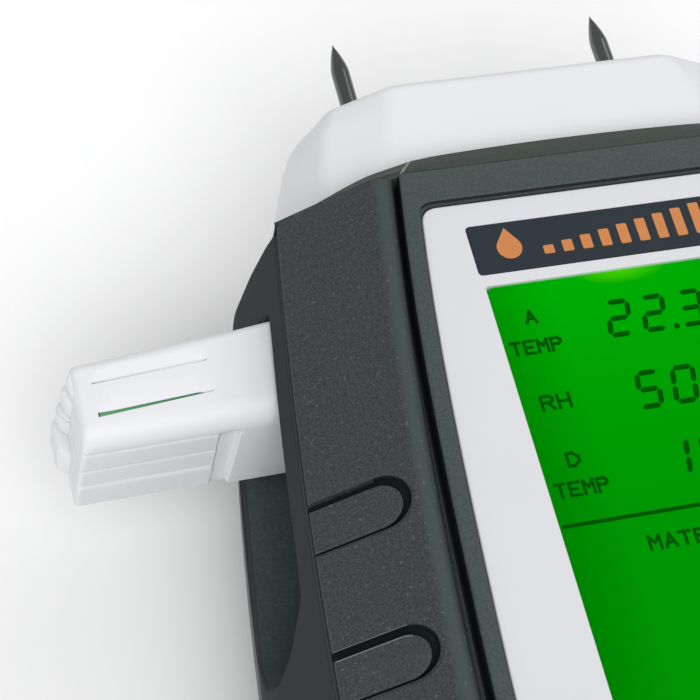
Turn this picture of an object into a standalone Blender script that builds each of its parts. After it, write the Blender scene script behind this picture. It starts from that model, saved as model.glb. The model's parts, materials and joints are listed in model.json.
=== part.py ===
"""A hand-held moisture meter lying on its back, as separate pieces.

Metres, +Z out of the display, +Y towards the two pins, +X to the right of the display.
The origin is the centre of the flat back. Every size below is in millimetres.
"""

import math

import bmesh
import bpy
from mathutils import Vector

MM = 0.001
GAP = 0.3

# Case: each side is two shallow parabolas that meet at its widest place, a little above the middle.
FRONT_Z = 36.0
SEAM_LOW = 13.4
SEAM_HIGH = SEAM_LOW + GAP
CASE_TOP = 63.2
CASE_BOTTOM = -77.5
ROUNDING_START = -64.0
WIDEST_Y = 2.5
GROOVE_HALF = 19.44
SIDE_CURVE = 0.0013
SIDE_CURVE_BELOW = 0.0010
GRIP_WIDTH = 8.8
GRIP_EDGE_Z = 31.0
GRIP_INNER_Z = 35.55
GRIP_DEPTH = 1.2
SIDE_BULGE = 3.3
BULGE_FADE = 1.0
BULGE_REACH = 60.0
WALL = 2.3
BACK_WALL = 3.6
FACE_INNER_Z = 33.0

# Window plate, label and display
PLATE_INSET = 1.6
PLATE_TOP = 59.3
PLATE_BOTTOM = -62.0
PLATE_LOW = 34.6
PLATE_HIGH = 35.5
LEDGE = 1.8
LEDGE_Z = 34.3
LCD_HALF = 10.2
LCD_TOP = 52.0
LCD_BOTTOM = 10.0
LABEL_HALF = 10.5
LABEL_LOW = 53.1
LABEL_HIGH = 57.4

# Top cap and pins
CAP_MID_Z = 20.2
CAP_TOP = 77.0
PIN_SPACING = 24.0
PIN_RADIUS = 0.8
PIN_TIP = 86.9
PIN_POINT = 3.1

# Swing-out sensor: the hinge line is vertical, through HINGE_X, HINGE_Y.
HINGE_X = -24.0
HINGE_Y = 52.7
HINGE_RADIUS = 1.0
HUB_RADIUS = 4.1
ARM_LOW = 15.9
ARM_HIGH = 27.0
ARM_SPLIT = 22.0
ARM_END = -41.3
ARM_FIN_END = -42.7
SLOT_LEAN = 0.066
BOARD_Y = 50.85
RECESS_LOW = 14.9
RECESS_HIGH = 27.3
RECESS_FLOOR_X = -19.5
HINGE = (HINGE_X, HINGE_Y, ARM_SPLIT)

# Keys: centre and half sizes
KEY_HALF_X = 5.0
KEY_HALF_Y = 3.6
KEY_TOP = 36.6
KEYS = {
    "button_mode": (-7.2, -2.0),
    "button_hold": (7.2, -2.0),
    "button_menu": (-7.2, -17.0),
    "button_power": (7.2, -17.0),
}

# Battery and its sliding door
BATTERY_HALF_X = 13.0
BATTERY_LOW_Z = 4.2
BATTERY_HIGH_Z = 21.2
BATTERY_TOP = -20.0
BATTERY_BOTTOM = -68.4
DOOR_HALF = 14.0
DOOR_TONGUE = 1.4
DOOR_TOP = -16.5
DOOR_BOTTOM = -70.5
DOOR_THICK = 1.9

SCREWS = [(-14.0, 57.0), (14.0, 57.0), (-19.5, -52.0), (19.5, -52.0)]
PCB_SCREWS = [(0.0, 48.5), (0.0, -46.0)]
GRIP_PADS = 5
PAD_FIRST_Y = 36.8
PAD_PITCH = 11.45
PAD_RADIUS = 2.0
PAD_REACH = 2.05


def clear_scene():
    for obj in list(bpy.data.objects):
        bpy.data.objects.remove(obj)


def make_material(name, colour, roughness, metallic=0.0):
    material = bpy.data.materials.new(name)
    material.use_nodes = True
    shader = material.node_tree.nodes["Principled BSDF"]
    shader.inputs["Base Color"].default_value = (*colour, 1.0)
    shader.inputs["Roughness"].default_value = roughness
    shader.inputs["Metallic"].default_value = metallic
    return material


# ---- solids, all in millimetres until they become an object ----


def loft(rings):
    """Skins rings that have the same number of points, and closes both ends."""
    solid = bmesh.new()
    loops = [[solid.verts.new(point) for point in ring] for ring in rings]
    count = len(loops[0])
    for first, second in zip(loops, loops[1:]):
        for i in range(count):
            j = (i + 1) % count
            solid.faces.new((first[i], first[j], second[j], second[i]))
    solid.faces.new(loops[0])
    solid.faces.new(loops[-1])
    bmesh.ops.recalc_face_normals(solid, faces=solid.faces)
    return solid


def prism(outline, low, high):
    """Extrudes an outline in X and Y from z=low to z=high."""
    return loft([[(x, y, z) for x, y in outline] for z in (low, high)])


def side_prism(outline, low, high):
    """Extrudes an outline in Y and Z from x=low to x=high."""
    return loft([[(x, y, z) for y, z in outline] for x in (low, high)])


def box(low, high):
    outline = [(low[0], low[1]), (high[0], low[1]), (high[0], high[1]), (low[0], high[1])]
    return prism(outline, low[2], high[2])


def circle(x, y, radius, sides=24, start=0.0, turn=2 * math.pi):
    steps = sides if turn == 2 * math.pi else sides + 1
    angles = [start + turn * i / sides for i in range(steps)]
    return [(x + radius * math.cos(a), y + radius * math.sin(a)) for a in angles]


def rounded_rectangle(x, y, half_x, half_y, radius, sides=4):
    points = []
    for quarter in range(4):
        start = quarter * math.pi / 2
        corner_x = x + (half_x - radius) * (1 if quarter in (0, 3) else -1)
        corner_y = y + (half_y - radius) * (1 if quarter in (0, 1) else -1)
        points += circle(corner_x, corner_y, radius, sides, start, math.pi / 2)
    return points


def cylinder(x, y, radius, low, high, sides=24):
    return prism(circle(x, y, radius, sides), low, high)


def turned(x, z, profile, sides=20):
    """A round solid about a line along Y: profile is a list of (y, radius)."""
    rings = []
    for y, radius in profile:
        rings.append([(px, y, pz) for px, pz in circle(x, z, radius, sides)])
    return loft(rings)


def joined(*solids):
    """Puts separate closed solids into one mesh."""
    result = bmesh.new()
    for solid in solids:
        mesh = bpy.data.meshes.new("piece")
        solid.to_mesh(mesh)
        solid.free()
        result.from_mesh(mesh)
        bpy.data.meshes.remove(mesh)
    return result


def make_object(name, solid, material, origin=(0.0, 0.0, 0.0), parent=None):
    bmesh.ops.translate(solid, vec=-Vector(origin), verts=solid.verts)
    bmesh.ops.scale(solid, vec=(MM, MM, MM), verts=solid.verts)
    mesh = bpy.data.meshes.new(name)
    solid.to_mesh(mesh)
    solid.free()
    mesh.shade_smooth()
    mesh.set_sharp_from_angle(angle=math.radians(35))
    obj = bpy.data.objects.new(name, mesh)
    if material:
        mesh.materials.append(material)
    bpy.context.scene.collection.objects.link(obj)
    obj.location = Vector(origin) * MM
    if parent:
        obj.parent = parent
        obj.location = (0.0, 0.0, 0.0)
    return obj


def shape(obj, operation, solid):
    """Adds a Boolean whose tool stays hidden beside the object."""
    tool = make_object(f"{obj.name}_{operation.lower()}_{len(obj.modifiers)}", solid, None)
    tool.hide_render = True
    tool.display_type = "WIRE"
    modifier = obj.modifiers.new(operation.title(), "BOOLEAN")
    modifier.operation = operation
    modifier.solver = "EXACT"
    modifier.object = tool
    return tool


def cut(obj, *solids):
    return shape(obj, "DIFFERENCE", joined(*solids))


def add(obj, solid):
    return shape(obj, "UNION", solid)


# ---- the case's outline ----


def groove_x(y):
    curve = SIDE_CURVE if y > WIDEST_Y else SIDE_CURVE_BELOW
    return GROOVE_HALF - curve * (y - WIDEST_Y) ** 2


def edge_x(y):
    return groove_x(y) + GRIP_WIDTH


def bulge(y):
    return SIDE_BULGE - BULGE_FADE * ((y - WIDEST_Y) / BULGE_REACH) ** 2


def stations(low, high, count):
    return [low + (high - low) * i / (count - 1) for i in range(count)]


def mirrored(half, y):
    """A full ring from its right half, which runs from the lowest point up."""
    right = [(x, y, z) for x, z in half]
    left = [(-x, y, z) for x, z in reversed(half)]
    return right + left


def front_half(y, width=1.0, height=1.0):
    groove = groove_x(y) - 0.2
    edge = edge_x(y)
    side = bulge(y)
    half = [
        (edge + 0.92 * side, SEAM_HIGH),
        (edge + side, 18.0),
        (edge + 0.62 * side, 24.0),
        (edge + 0.25 * side, 28.0),
        (edge + 0.05 * side, GRIP_EDGE_Z - GRIP_DEPTH - GAP),
        (groove, GRIP_INNER_Z - GRIP_DEPTH - GAP),
        (groove, FRONT_Z),
    ]
    return [(x * width, SEAM_HIGH + (z - SEAM_HIGH) * height) for x, z in half]


def front_inner_half(y):
    groove = groove_x(y)
    edge = edge_x(y)
    side = edge + bulge(y)
    return [
        (side - WALL - 0.2, SEAM_HIGH - 2.0),
        (side - WALL, 18.0),
        (edge - 1.9, 27.2),
        (groove - 1.0, 32.0),
        (groove - 2.4, FACE_INNER_Z),
    ]


def rear_half(y, width=1.0, height=1.0):
    side = edge_x(y) + bulge(y)
    half = [
        (side - 7.5, 0.0),
        (side - 4.2, 1.0),
        (side - 1.9, 4.2),
        (side - 0.7, 8.6),
        (side - 0.3, SEAM_LOW),
    ]
    return [(x * width, SEAM_LOW - (SEAM_LOW - z) * height) for x, z in half]


def rear_inner_half(y):
    side = edge_x(y) + bulge(y)
    return [
        (side - 7.0, BACK_WALL),
        (side - 4.0, 6.0),
        (side - 2.9, 10.0),
        (side - 2.6, SEAM_LOW + 2.0),
    ]


def end_rounding():
    """Stations of the rounded lower end: y, width scale and height scale."""
    return [(CASE_BOTTOM, 0.62, 0.72), (-76.6, 0.77, 0.84), (-74.0, 0.89, 0.93), (-69.5, 0.965, 0.985)]


def front_shell(material):
    rings = [mirrored(front_half(y, w, h), y) for y, w, h in end_rounding()]
    rings += [mirrored(front_half(y), y) for y in stations(ROUNDING_START, CASE_TOP, 13)]
    shell = make_object("front_shell", loft(rings), material)
    cavity_ys = stations(-66.0, CASE_TOP - WALL, 11)
    cavity_rings = [mirrored([(x * 0.8, z * 0.95 + 0.7) for x, z in front_inner_half(-72.0)], -72.0)]
    cavity_rings += [mirrored(front_inner_half(y), y) for y in cavity_ys]
    cavity = shape(shell, "DIFFERENCE", loft(cavity_rings))
    sensor_block = box((-40.0, 28.0, RECESS_LOW - 1.5), (-18.2, 59.5, 40.0))
    shape(cavity, "DIFFERENCE", sensor_block)
    bosses = [cylinder(x, y, 3.0, SEAM_HIGH + GAP, FACE_INNER_Z + 0.5) for x, y in SCREWS]
    shape(cavity, "DIFFERENCE", joined(*bosses))
    add(shell, brow())
    cut(
        shell,
        prism(plate_outline(0.0), LEDGE_Z, 40.0),
        sensor_recess(),
        box((-13.3, 59.0, 10.0), (13.3, 66.0, 26.3)),
        *[cylinder(x, y, 1.6, 10.0, 22.0, 16) for x, y in SCREWS],
    )
    cut(shell, prism(plate_outline(LEDGE), 30.0, 35.0))
    cut(shell, cylinder(HINGE_X, HINGE_Y, HINGE_RADIUS + 0.25, 12.0, 28.2))
    return shell


def brow():
    """The lip over the cap's front face: it carries the chamfer above the window."""
    section = [(58.0, 33.2), (65.3, 32.7), (65.3, 34.2), (62.6, FRONT_Z), (58.0, FRONT_Z)]
    half = groove_x(CASE_TOP) - 0.2
    rings = [[(x, y, z) for y, z in section] for x in (-half + 1.6, half - 1.6)]
    ends = [[(x, min(y, 63.0), z) for y, z in section] for x in (-half, half)]
    return loft([ends[0], rings[0], rings[1], ends[1]])


def plate_outline(inset):
    """The white plate's outline: curved sides, small corner radii."""
    bottom = PLATE_BOTTOM + inset
    top = PLATE_TOP - inset
    right = []
    for y in stations(bottom + 1.2, top - 1.2, 12):
        right.append((groove_x(y) - PLATE_INSET - inset, y))
    low_x = right[0][0]
    high_x = right[-1][0]
    right = [(low_x - 1.2, bottom), (low_x - 0.35, bottom + 0.35)] + right
    right += [(high_x - 0.35, top - 0.35), (high_x - 1.2, top)]
    return right + [(-x, y) for x, y in reversed(right)]


def sensor_recess():
    """The boat-shaped pocket in the left side, seen along X."""
    outline = [
        (57.4, RECESS_LOW),
        (57.4, RECESS_HIGH),
        (33.4, RECESS_HIGH),
        (31.2, 25.4),
        (29.8, 22.9),
        (29.4, 21.1),
        (29.8, 19.0),
        (31.2, 16.6),
        (33.0, RECESS_LOW),
    ]
    return side_prism(outline, -40.0, RECESS_FLOOR_X)


def rear_shell(material):
    rings = [mirrored(rear_half(y, w, h), y) for y, w, h in end_rounding()]
    rings += [mirrored(rear_half(y), y) for y in stations(ROUNDING_START, 59.0, 12)]
    rings.append(mirrored(rear_half(62.2, 0.985, 0.95), 62.2))
    rings.append(mirrored(rear_half(CASE_TOP, 0.97, 0.88), CASE_TOP))
    shell = make_object("rear_shell", loft(rings), material)
    cavity_rings = [mirrored([(x * 0.8, z) for x, z in rear_inner_half(-72.0)], -72.0)]
    cavity_rings += [mirrored(rear_inner_half(y), y) for y in stations(-66.0, CASE_TOP - WALL, 11)]
    cavity = shape(shell, "DIFFERENCE", loft(cavity_rings))
    bosses = [cylinder(x, y, 3.4, -1.0, SEAM_LOW + 3.0) for x, y in SCREWS]
    shape(cavity, "DIFFERENCE", joined(*bosses))
    cut(shell, *[screw_hole(x, y) for x, y in SCREWS])
    cut(shell, door_track())
    cut(shell, box((-DOOR_HALF + 0.4, -69.3, 1.0), (DOOR_HALF - 0.4, -18.0, 8.0)))
    return shell


def screw_hole(x, y):
    sizes = [(-1.0, 2.9), (3.4, 2.9), (3.41, 1.6), (SEAM_LOW + 1.0, 1.6)]
    return loft([[(px, py, z) for px, py in circle(x, y, r, 16)] for z, r in sizes])


def door_track():
    """A channel open at the lower end, with a groove on each side for the door's tongues."""
    half = DOOR_HALF + GAP
    wide = half + DOOR_TONGUE
    section = [
        (-half, -1.0),
        (half, -1.0),
        (half, 0.9),
        (wide, 0.9),
        (wide, DOOR_THICK + GAP),
        (-wide, DOOR_THICK + GAP),
        (-wide, 0.9),
        (-half, 0.9),
    ]
    return loft([[(x, y, z) for x, z in section] for y in (-90.0, DOOR_TOP + GAP)])


def battery_door(material):
    wide = DOOR_HALF + DOOR_TONGUE
    section = [
        (-DOOR_HALF, 0.0),
        (DOOR_HALF, 0.0),
        (DOOR_HALF, 1.2),
        (wide, 1.2),
        (wide, DOOR_THICK),
        (-wide, DOOR_THICK),
        (-wide, 1.2),
        (-DOOR_HALF, 1.2),
    ]
    solid = loft([[(x, y, z) for x, z in section] for y in (DOOR_BOTTOM, DOOR_TOP)])
    door = make_object("battery_door", solid, material, (0.0, -43.5, 0.95))
    ridges = []
    for i in range(5):
        y = -64.0 + 1.8 * i
        ridges.append(box((-7.0, y, -1.0), (7.0, y + 0.8, 0.5)))
    cut(door, *ridges)
    return door


def grip(name, sign, material):
    """The textured side panel, with half-round pads let into its outer edge."""
    rings = []
    for y in stations(-66.0, 61.9, 12):
        inner = groove_x(y) + 0.4
        edge = edge_x(y)
        section = [
            (inner, GRIP_INNER_Z),
            (edge, GRIP_EDGE_Z),
            (edge, GRIP_EDGE_Z - GRIP_DEPTH),
            (inner, GRIP_INNER_Z - GRIP_DEPTH),
        ]
        rings.append([(sign * x, y, z) for x, z in section])
    panel = make_object(name, loft(rings), material)
    for i in range(GRIP_PADS):
        cut(panel, pad_groove(sign, PAD_FIRST_Y - PAD_PITCH * i))
    return panel


def pad_groove(sign, y):
    """The groove round the upper edge and the round end of a pad."""
    start = groove_x(y) + PAD_REACH + PAD_RADIUS
    depth = 0.65
    outer = [(-40.0, y + PAD_RADIUS)]
    outer += circle(-start, y, PAD_RADIUS, 8, math.pi / 2, -math.pi)
    inner = circle(-start - 0.15, y - 0.15, PAD_RADIUS - depth, 8, -math.pi / 2, math.pi)
    outline = outer + inner + [(-40.0, y + PAD_RADIUS - depth)]
    slope = (GRIP_INNER_Z - GRIP_EDGE_Z) / (GRIP_WIDTH - 0.4)
    top = GRIP_INNER_Z + slope * groove_x(y)
    rings = []
    for lift in (-0.8, 3.0):
        rings.append([(-sign * x, py, top + slope * x + lift) for x, py in outline])
    return loft(rings)


def window_plate(material):
    plate = make_object("window_plate", prism(plate_outline(GAP), PLATE_LOW, PLATE_HIGH), material)
    lcd_mid = (LCD_TOP + LCD_BOTTOM) / 2
    lcd_half_y = (LCD_TOP - LCD_BOTTOM) / 2
    holes = [prism(rounded_rectangle(0.0, lcd_mid, LCD_HALF + 0.2, lcd_half_y + 0.2, 0.6), 30.0, 40.0)]
    label_mid = (LABEL_HIGH + LABEL_LOW) / 2
    label_half_y = (LABEL_HIGH - LABEL_LOW) / 2
    pocket = rounded_rectangle(0.0, label_mid, LABEL_HALF + 0.1, label_half_y + 0.1, 0.6)
    holes.append(prism(pocket, 34.95, 40.0))
    for x, y in KEYS.values():
        outline = rounded_rectangle(x, y, KEY_HALF_X + GAP, KEY_HALF_Y + GAP, 2.0)
        holes.append(prism(outline, 30.0, 40.0))
    cut(plate, *holes)
    return plate


def label_band(material):
    mid = (LABEL_HIGH + LABEL_LOW) / 2
    half_y = (LABEL_HIGH - LABEL_LOW) / 2
    outline = rounded_rectangle(0.0, mid, LABEL_HALF, half_y, 0.6)
    return make_object("label_band", prism(outline, 35.15, 35.56), material)


def display_stack(lens, glass, diffuser):
    mid = (LCD_TOP + LCD_BOTTOM) / 2
    half_y = (LCD_TOP - LCD_BOTTOM) / 2
    outline = rounded_rectangle(0.0, mid, LCD_HALF, half_y, 0.5)
    make_object("display_lens", prism(outline, 34.4, 35.3), lens)
    make_object("lcd_panel", box((-12.0, 8.0, 32.3), (12.0, 54.0, 34.1)), glass)
    make_object("backlight", box((-12.0, 8.0, 29.5), (12.0, 54.0, 32.0)), diffuser)


def key(name, x, y, material):
    top = rounded_rectangle(x, y, KEY_HALF_X - 0.5, KEY_HALF_Y - 0.5, 1.5)
    body = rounded_rectangle(x, y, KEY_HALF_X, KEY_HALF_Y, 1.9)
    flange = rounded_rectangle(x, y, KEY_HALF_X + 0.9, KEY_HALF_Y + 0.9, 2.4)
    levels = [(flange, 33.2), (flange, 34.2), (body, 34.2001), (body, KEY_TOP - 0.5), (top, KEY_TOP)]
    rings = [[(px, py, z) for px, py in outline] for outline, z in levels]
    return make_object(name, loft(rings), material, (x, y, 33.2))


def keypad_membrane(material):
    sheet = make_object("keypad_membrane", box((-13.0, -24.0, 31.0), (13.0, 5.0, 32.2)), material)
    domes = [cylinder(x, y, 2.6, 29.4, 31.5, 16) for x, y in KEYS.values()]
    add(sheet, joined(*domes))
    return sheet


def circuit_board(material):
    outline = rounded_rectangle(0.0, 0.0, 14.6, 51.0, 1.5)
    board = make_object("main_pcb", prism(outline, 27.5, 29.1), material)
    cut(board, *[cylinder(x, y, 1.3, 20.0, 35.0, 16) for x, y in PCB_SCREWS])
    return board


def cap_half(front_x, front_z, soft_x, soft_z, side_x, side_z):
    """Right half of a cap section, mirrored about the cap's middle height."""
    upper = [(side_x, side_z), (soft_x, soft_z), (front_x, front_z)]
    lower = [(x, 2 * CAP_MID_Z - z) for x, z in reversed(upper)]
    return lower + upper


def cap_sections():
    return [
        (CASE_TOP + GAP, (15.3, 32.3, 19.3, 30.2, 22.4, 24.0)),
        (68.0, (13.6, 32.3, 18.7, 30.2, 21.6, 24.0)),
        (71.5, (12.4, 32.3, 17.8, 30.2, 20.4, 24.0)),
        (73.6, (11.8, 32.3, 16.8, 29.6, 19.3, 23.8)),
        (75.4, (11.3, 28.6, 15.6, 27.0, 17.9, 23.2)),
        (CAP_TOP, (10.6, 24.2, 14.6, 23.8, 16.3, 22.2)),
    ]


def top_cap(material):
    rings = [mirrored(cap_half(*sizes), y) for y, sizes in cap_sections()]
    cap = make_object("top_cap", loft(rings), material)
    inner = []
    for y, sizes in [(CASE_TOP - 1.0, cap_sections()[0][1]), cap_sections()[1], cap_sections()[3]]:
        front_x, front_z, soft_x, soft_z, side_x, side_z = sizes
        half = cap_half(front_x - 1.2, front_z - 2.0, soft_x - 1.6, soft_z - 1.8, side_x - 1.8, side_z)
        inner.append(mirrored(half, y))
    cut(cap, loft(inner))
    holes = []
    for sign in (-1, 1):
        x = sign * PIN_SPACING / 2
        holes.append(turned(x, CAP_MID_Z, [(60.0, PIN_RADIUS + 0.25), (90.0, PIN_RADIUS + 0.25)]))
    cut(cap, *holes)
    return cap


def pin(name, x, material):
    """A round steel pin with an ogive point."""
    profile = [(63.0, PIN_RADIUS), (PIN_TIP - PIN_POINT, PIN_RADIUS)]
    for step in (0.3, 0.55, 0.75, 0.9):
        profile.append((PIN_TIP - PIN_POINT + PIN_POINT * step, PIN_RADIUS * (1 - step**1.7)))
    profile.append((PIN_TIP, 0.06))
    return make_object(name, turned(x, CAP_MID_Z, profile), material)


def pin_holder(material, metal):
    block = make_object("pin_block", box((-13.0, 60.6, 14.2), (13.0, 70.5, 26.0)), material)
    holes = []
    for sign in (-1, 1):
        x = sign * PIN_SPACING / 2
        holes.append(turned(x, CAP_MID_Z, [(62.6, PIN_RADIUS + 0.2), (75.0, PIN_RADIUS + 0.2)]))
    lugs = []
    for sign in (-1, 1):
        x = sign * PIN_SPACING / 2
        lugs.append(turned(x, CAP_MID_Z, [(64.4, 2.6), (70.5, 2.6)]))
    add(block, joined(*lugs))
    cut(block, *holes)
    for name, sign in (("pin_nut_left", -1), ("pin_nut_right", 1)):
        x = sign * PIN_SPACING / 2
        nut = make_object(name, turned(x, CAP_MID_Z, [(70.8, 2.2), (72.9, 2.2)], 6), metal)
        cut(nut, turned(x, CAP_MID_Z, [(68.0, PIN_RADIUS + 0.2), (75.0, PIN_RADIUS + 0.2)]))


# ---- the swing-out sensor ----


def arm_outline():
    """The arm seen from above: a round hub, tapering a little to the free end."""
    hub = circle(HINGE_X, HINGE_Y, HUB_RADIUS, 12, -math.pi / 2, math.pi)
    return hub + [(ARM_END, 55.3), (ARM_END, 48.3)]


def slanted_strip(start_y, half_width, left, right, low, high):
    """A straight bar along the arm that leans towards the hinge, as the air slots do."""
    rise = SLOT_LEAN * (right - left)
    outline = [
        (left, start_y - half_width),
        (right, start_y + rise - half_width),
        (right, start_y + rise + half_width),
        (left, start_y + half_width),
    ]
    return prism(outline, low, high)


def arm_slots(low, high):
    """The two air slots through a broad face."""
    return [slanted_strip(y, 0.45, -39.7, -30.3, low, high) for y in (BOARD_Y, 53.4)]


def sensor_half(name, low, high, side_slot_z, parent, material):
    half = make_object(name, prism(arm_outline(), low, high), material, parent=parent, origin=HINGE)
    fins = []
    pitch = 1.7
    count = int((high - low) / pitch)
    for i in range(count):
        z = low + 0.4 + pitch * i
        fins.append(box((ARM_FIN_END, 48.9, z), (ARM_END + 0.3, 54.7, z + 0.8)))
    add(half, joined(*fins))
    top_side = high > ARM_HIGH - 1.0
    inner_low = low - 1.0 if top_side else low + 1.1
    inner_high = high - 1.1 if top_side else high + 1.0
    cavity = box((-40.2, 49.4, inner_low), (-29.6, 54.4, inner_high))
    cut(half, cavity)
    cut(half, *arm_slots(high - 2.0 if top_side else low - 1.0, high + 1.0 if top_side else low + 2.0))
    cut(half, box((-39.9, 46.0, side_slot_z - 0.4), (-30.6, 58.0, side_slot_z + 0.4)))
    cut(half, cylinder(HINGE_X, HINGE_Y, HINGE_RADIUS + 0.25, 10.0, 30.0))
    return half


def sensor_arm(white, green, chip):
    pivot = bpy.data.objects.new("sensor_pivot", None)
    bpy.context.scene.collection.objects.link(pivot)
    pivot.location = Vector(HINGE) * MM
    sensor_half("sensor_cover_front", ARM_SPLIT + 0.15, ARM_HIGH, 24.6, pivot, white)
    sensor_half("sensor_cover_rear", ARM_LOW, ARM_SPLIT - 0.15, 19.0, pivot, white)
    board = slanted_strip(BOARD_Y + 0.02, 0.25, -39.4, -30.6, ARM_LOW + 1.4, 26.5)
    make_object("sensor_pcb", board, green, parent=pivot, origin=HINGE)
    humidity = box((-37.5, 51.5, 20.6), (-35.5, 52.3, 22.6))
    make_object("humidity_chip", humidity, chip, parent=pivot, origin=HINGE)


def hinge_parts(metal):
    make_object("hinge_pin", cylinder(HINGE_X, HINGE_Y, HINGE_RADIUS, 14.0, 27.9), metal)
    washer = make_object("hinge_washer", cylinder(HINGE_X, HINGE_Y, 3.2, RECESS_LOW + 0.3, RECESS_LOW + 0.7), metal)
    cut(washer, cylinder(HINGE_X, HINGE_Y, HINGE_RADIUS + 0.25, 12.0, 18.0))


def battery(material, metal, plastic):
    mid = (BATTERY_TOP + BATTERY_BOTTOM) / 2
    half_y = (BATTERY_TOP - BATTERY_BOTTOM) / 2
    solid = box(
        (-BATTERY_HALF_X, mid - half_y, BATTERY_LOW_Z),
        (BATTERY_HALF_X, mid + half_y, BATTERY_HIGH_Z),
    )
    make_object("battery", solid, material)
    z = (BATTERY_LOW_Z + BATTERY_HIGH_Z) / 2
    holder_low = BATTERY_TOP + 3.0
    holder = make_object("battery_connector", box((-12.0, holder_low, z - 6), (12.0, holder_low + 1.6, z + 6)), plastic)
    cut(holder, *[turned(x, z, [(holder_low - 1, 2.0), (holder_low + 3, 2.0)]) for x in (-6.35, 6.35)])
    for name, x in (("contact_plus", -6.35), ("contact_minus", 6.35)):
        make_object(name, turned(x, z, [(holder_low - 2.6, 1.7), (holder_low + 2.2, 1.7)]), metal)


def fasteners(steel):
    for i, (x, y) in enumerate(SCREWS, 1):
        levels = [(1.2, 2.5), (3.1, 2.5), (3.101, 1.3), (20.5, 1.3)]
        rings = [[(px, py, z) for px, py in circle(x, y, r, 16)] for z, r in levels]
        screw = make_object(f"case_screw_{i}", loft(rings), steel)
        cut(screw, box((x - 1.3, y - 0.25, 0.0), (x + 1.3, y + 0.25, 2.1)))
    for i, (x, y) in enumerate(PCB_SCREWS, 1):
        levels = [(25.4, 2.0), (27.2, 2.0), (27.201, 1.0), (29.2, 1.0)]
        rings = [[(px, py, z) for px, py in circle(x, y, r, 16)] for z, r in levels]
        make_object(f"board_screw_{i}", loft(rings), steel)


def build():
    clear_scene()
    dark = make_material("dark_shell", (0.067, 0.084, 0.082), 0.45)
    rubber = make_material("grip_rubber", (0.045, 0.053, 0.054), 0.7)
    white = make_material("white_plastic", (0.78, 0.79, 0.81), 0.4)
    label = make_material("label", (0.028, 0.041, 0.047), 0.4)
    lens = make_material("display_lens", (0.0, 0.3, 0.0), 0.15)
    glass = make_material("lcd_glass", (0.0, 0.25, 0.02), 0.2)
    diffuser = make_material("light_guide", (0.7, 0.8, 0.7), 0.5)
    green = make_material("circuit_board", (0.03, 0.2, 0.08), 0.5)
    steel = make_material("steel", (0.5, 0.5, 0.52), 0.25, 1.0)
    black = make_material("black_plastic", (0.02, 0.02, 0.022), 0.5)
    key_rubber = make_material("key_rubber", (0.05, 0.06, 0.065), 0.6)
    cell = make_material("battery_wrap", (0.12, 0.12, 0.13), 0.4)
    foil = make_material("copper", (0.7, 0.35, 0.2), 0.35, 1.0)

    front_shell(dark)
    rear_shell(dark)
    grip("left_grip", -1, rubber)
    grip("right_grip", 1, rubber)
    window_plate(white)
    label_band(label)
    display_stack(lens, glass, diffuser)
    for name, (x, y) in KEYS.items():
        key(name, x, y, key_rubber)
    keypad_membrane(key_rubber)
    circuit_board(green)
    make_object("buzzer", cylinder(0.0, -6.0, 6.0, 23.0, 27.2), black)
    make_object("rear_electrode", box((-11.0, 22.0, 3.9), (11.0, 50.0, 4.4)), foil)
    top_cap(white)
    pin_holder(black, steel)
    pin("pin_left", -PIN_SPACING / 2, steel)
    pin("pin_right", PIN_SPACING / 2, steel)
    sensor_arm(white, green, black)
    hinge_parts(steel)
    battery_door(dark)
    battery(cell, steel, black)
    fasteners(steel)


build()
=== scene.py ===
"""The looks of a hand-held moisture meter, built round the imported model.

Solids are modelled in millimetres and become objects in metres. +Z comes out of the display,
+Y points towards the pins and +X is to the right of the display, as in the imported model.
"""

import json
import math

import bmesh
import bpy
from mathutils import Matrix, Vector


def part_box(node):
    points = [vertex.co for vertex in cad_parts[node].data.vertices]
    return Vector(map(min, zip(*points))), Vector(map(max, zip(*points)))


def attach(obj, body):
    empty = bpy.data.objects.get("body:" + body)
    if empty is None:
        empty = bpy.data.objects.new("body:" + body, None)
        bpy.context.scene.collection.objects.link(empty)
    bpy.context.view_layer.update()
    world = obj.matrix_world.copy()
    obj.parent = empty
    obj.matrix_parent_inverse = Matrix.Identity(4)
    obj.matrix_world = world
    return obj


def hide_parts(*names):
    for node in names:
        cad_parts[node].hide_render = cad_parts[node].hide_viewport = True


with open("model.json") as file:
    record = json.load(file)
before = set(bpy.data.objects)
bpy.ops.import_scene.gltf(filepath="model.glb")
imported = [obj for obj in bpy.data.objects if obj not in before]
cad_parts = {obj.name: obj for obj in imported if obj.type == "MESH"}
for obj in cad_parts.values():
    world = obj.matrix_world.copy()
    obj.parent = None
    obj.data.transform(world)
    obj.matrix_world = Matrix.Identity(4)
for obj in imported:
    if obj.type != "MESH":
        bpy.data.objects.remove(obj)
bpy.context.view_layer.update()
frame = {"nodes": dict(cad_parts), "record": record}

MM = 0.001
CASE = "case"
ARM = "sensor_arm"


def box_mm(node):
    """A node's lowest and highest corner, in millimetres."""
    low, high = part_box(node)
    return low / MM, high / MM


SHELL_LOW = box_mm("front_shell")[0]
PLATE_HIGH = box_mm("window_plate")[1]
LENS_LOW, LENS_HIGH = box_mm("display_lens")
BAND_LOW, BAND_HIGH = box_mm("label_band")
PIN_LOW, PIN_HIGH = box_mm("pin_left")
GRIP_LOW, GRIP_HIGH = box_mm("right_grip")
DOOR_HIGH = box_mm("battery_door")[1]
COVER_LOW = box_mm("sensor_cover_rear")[0]
COVER_HIGH = box_mm("sensor_cover_front")[1]

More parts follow.
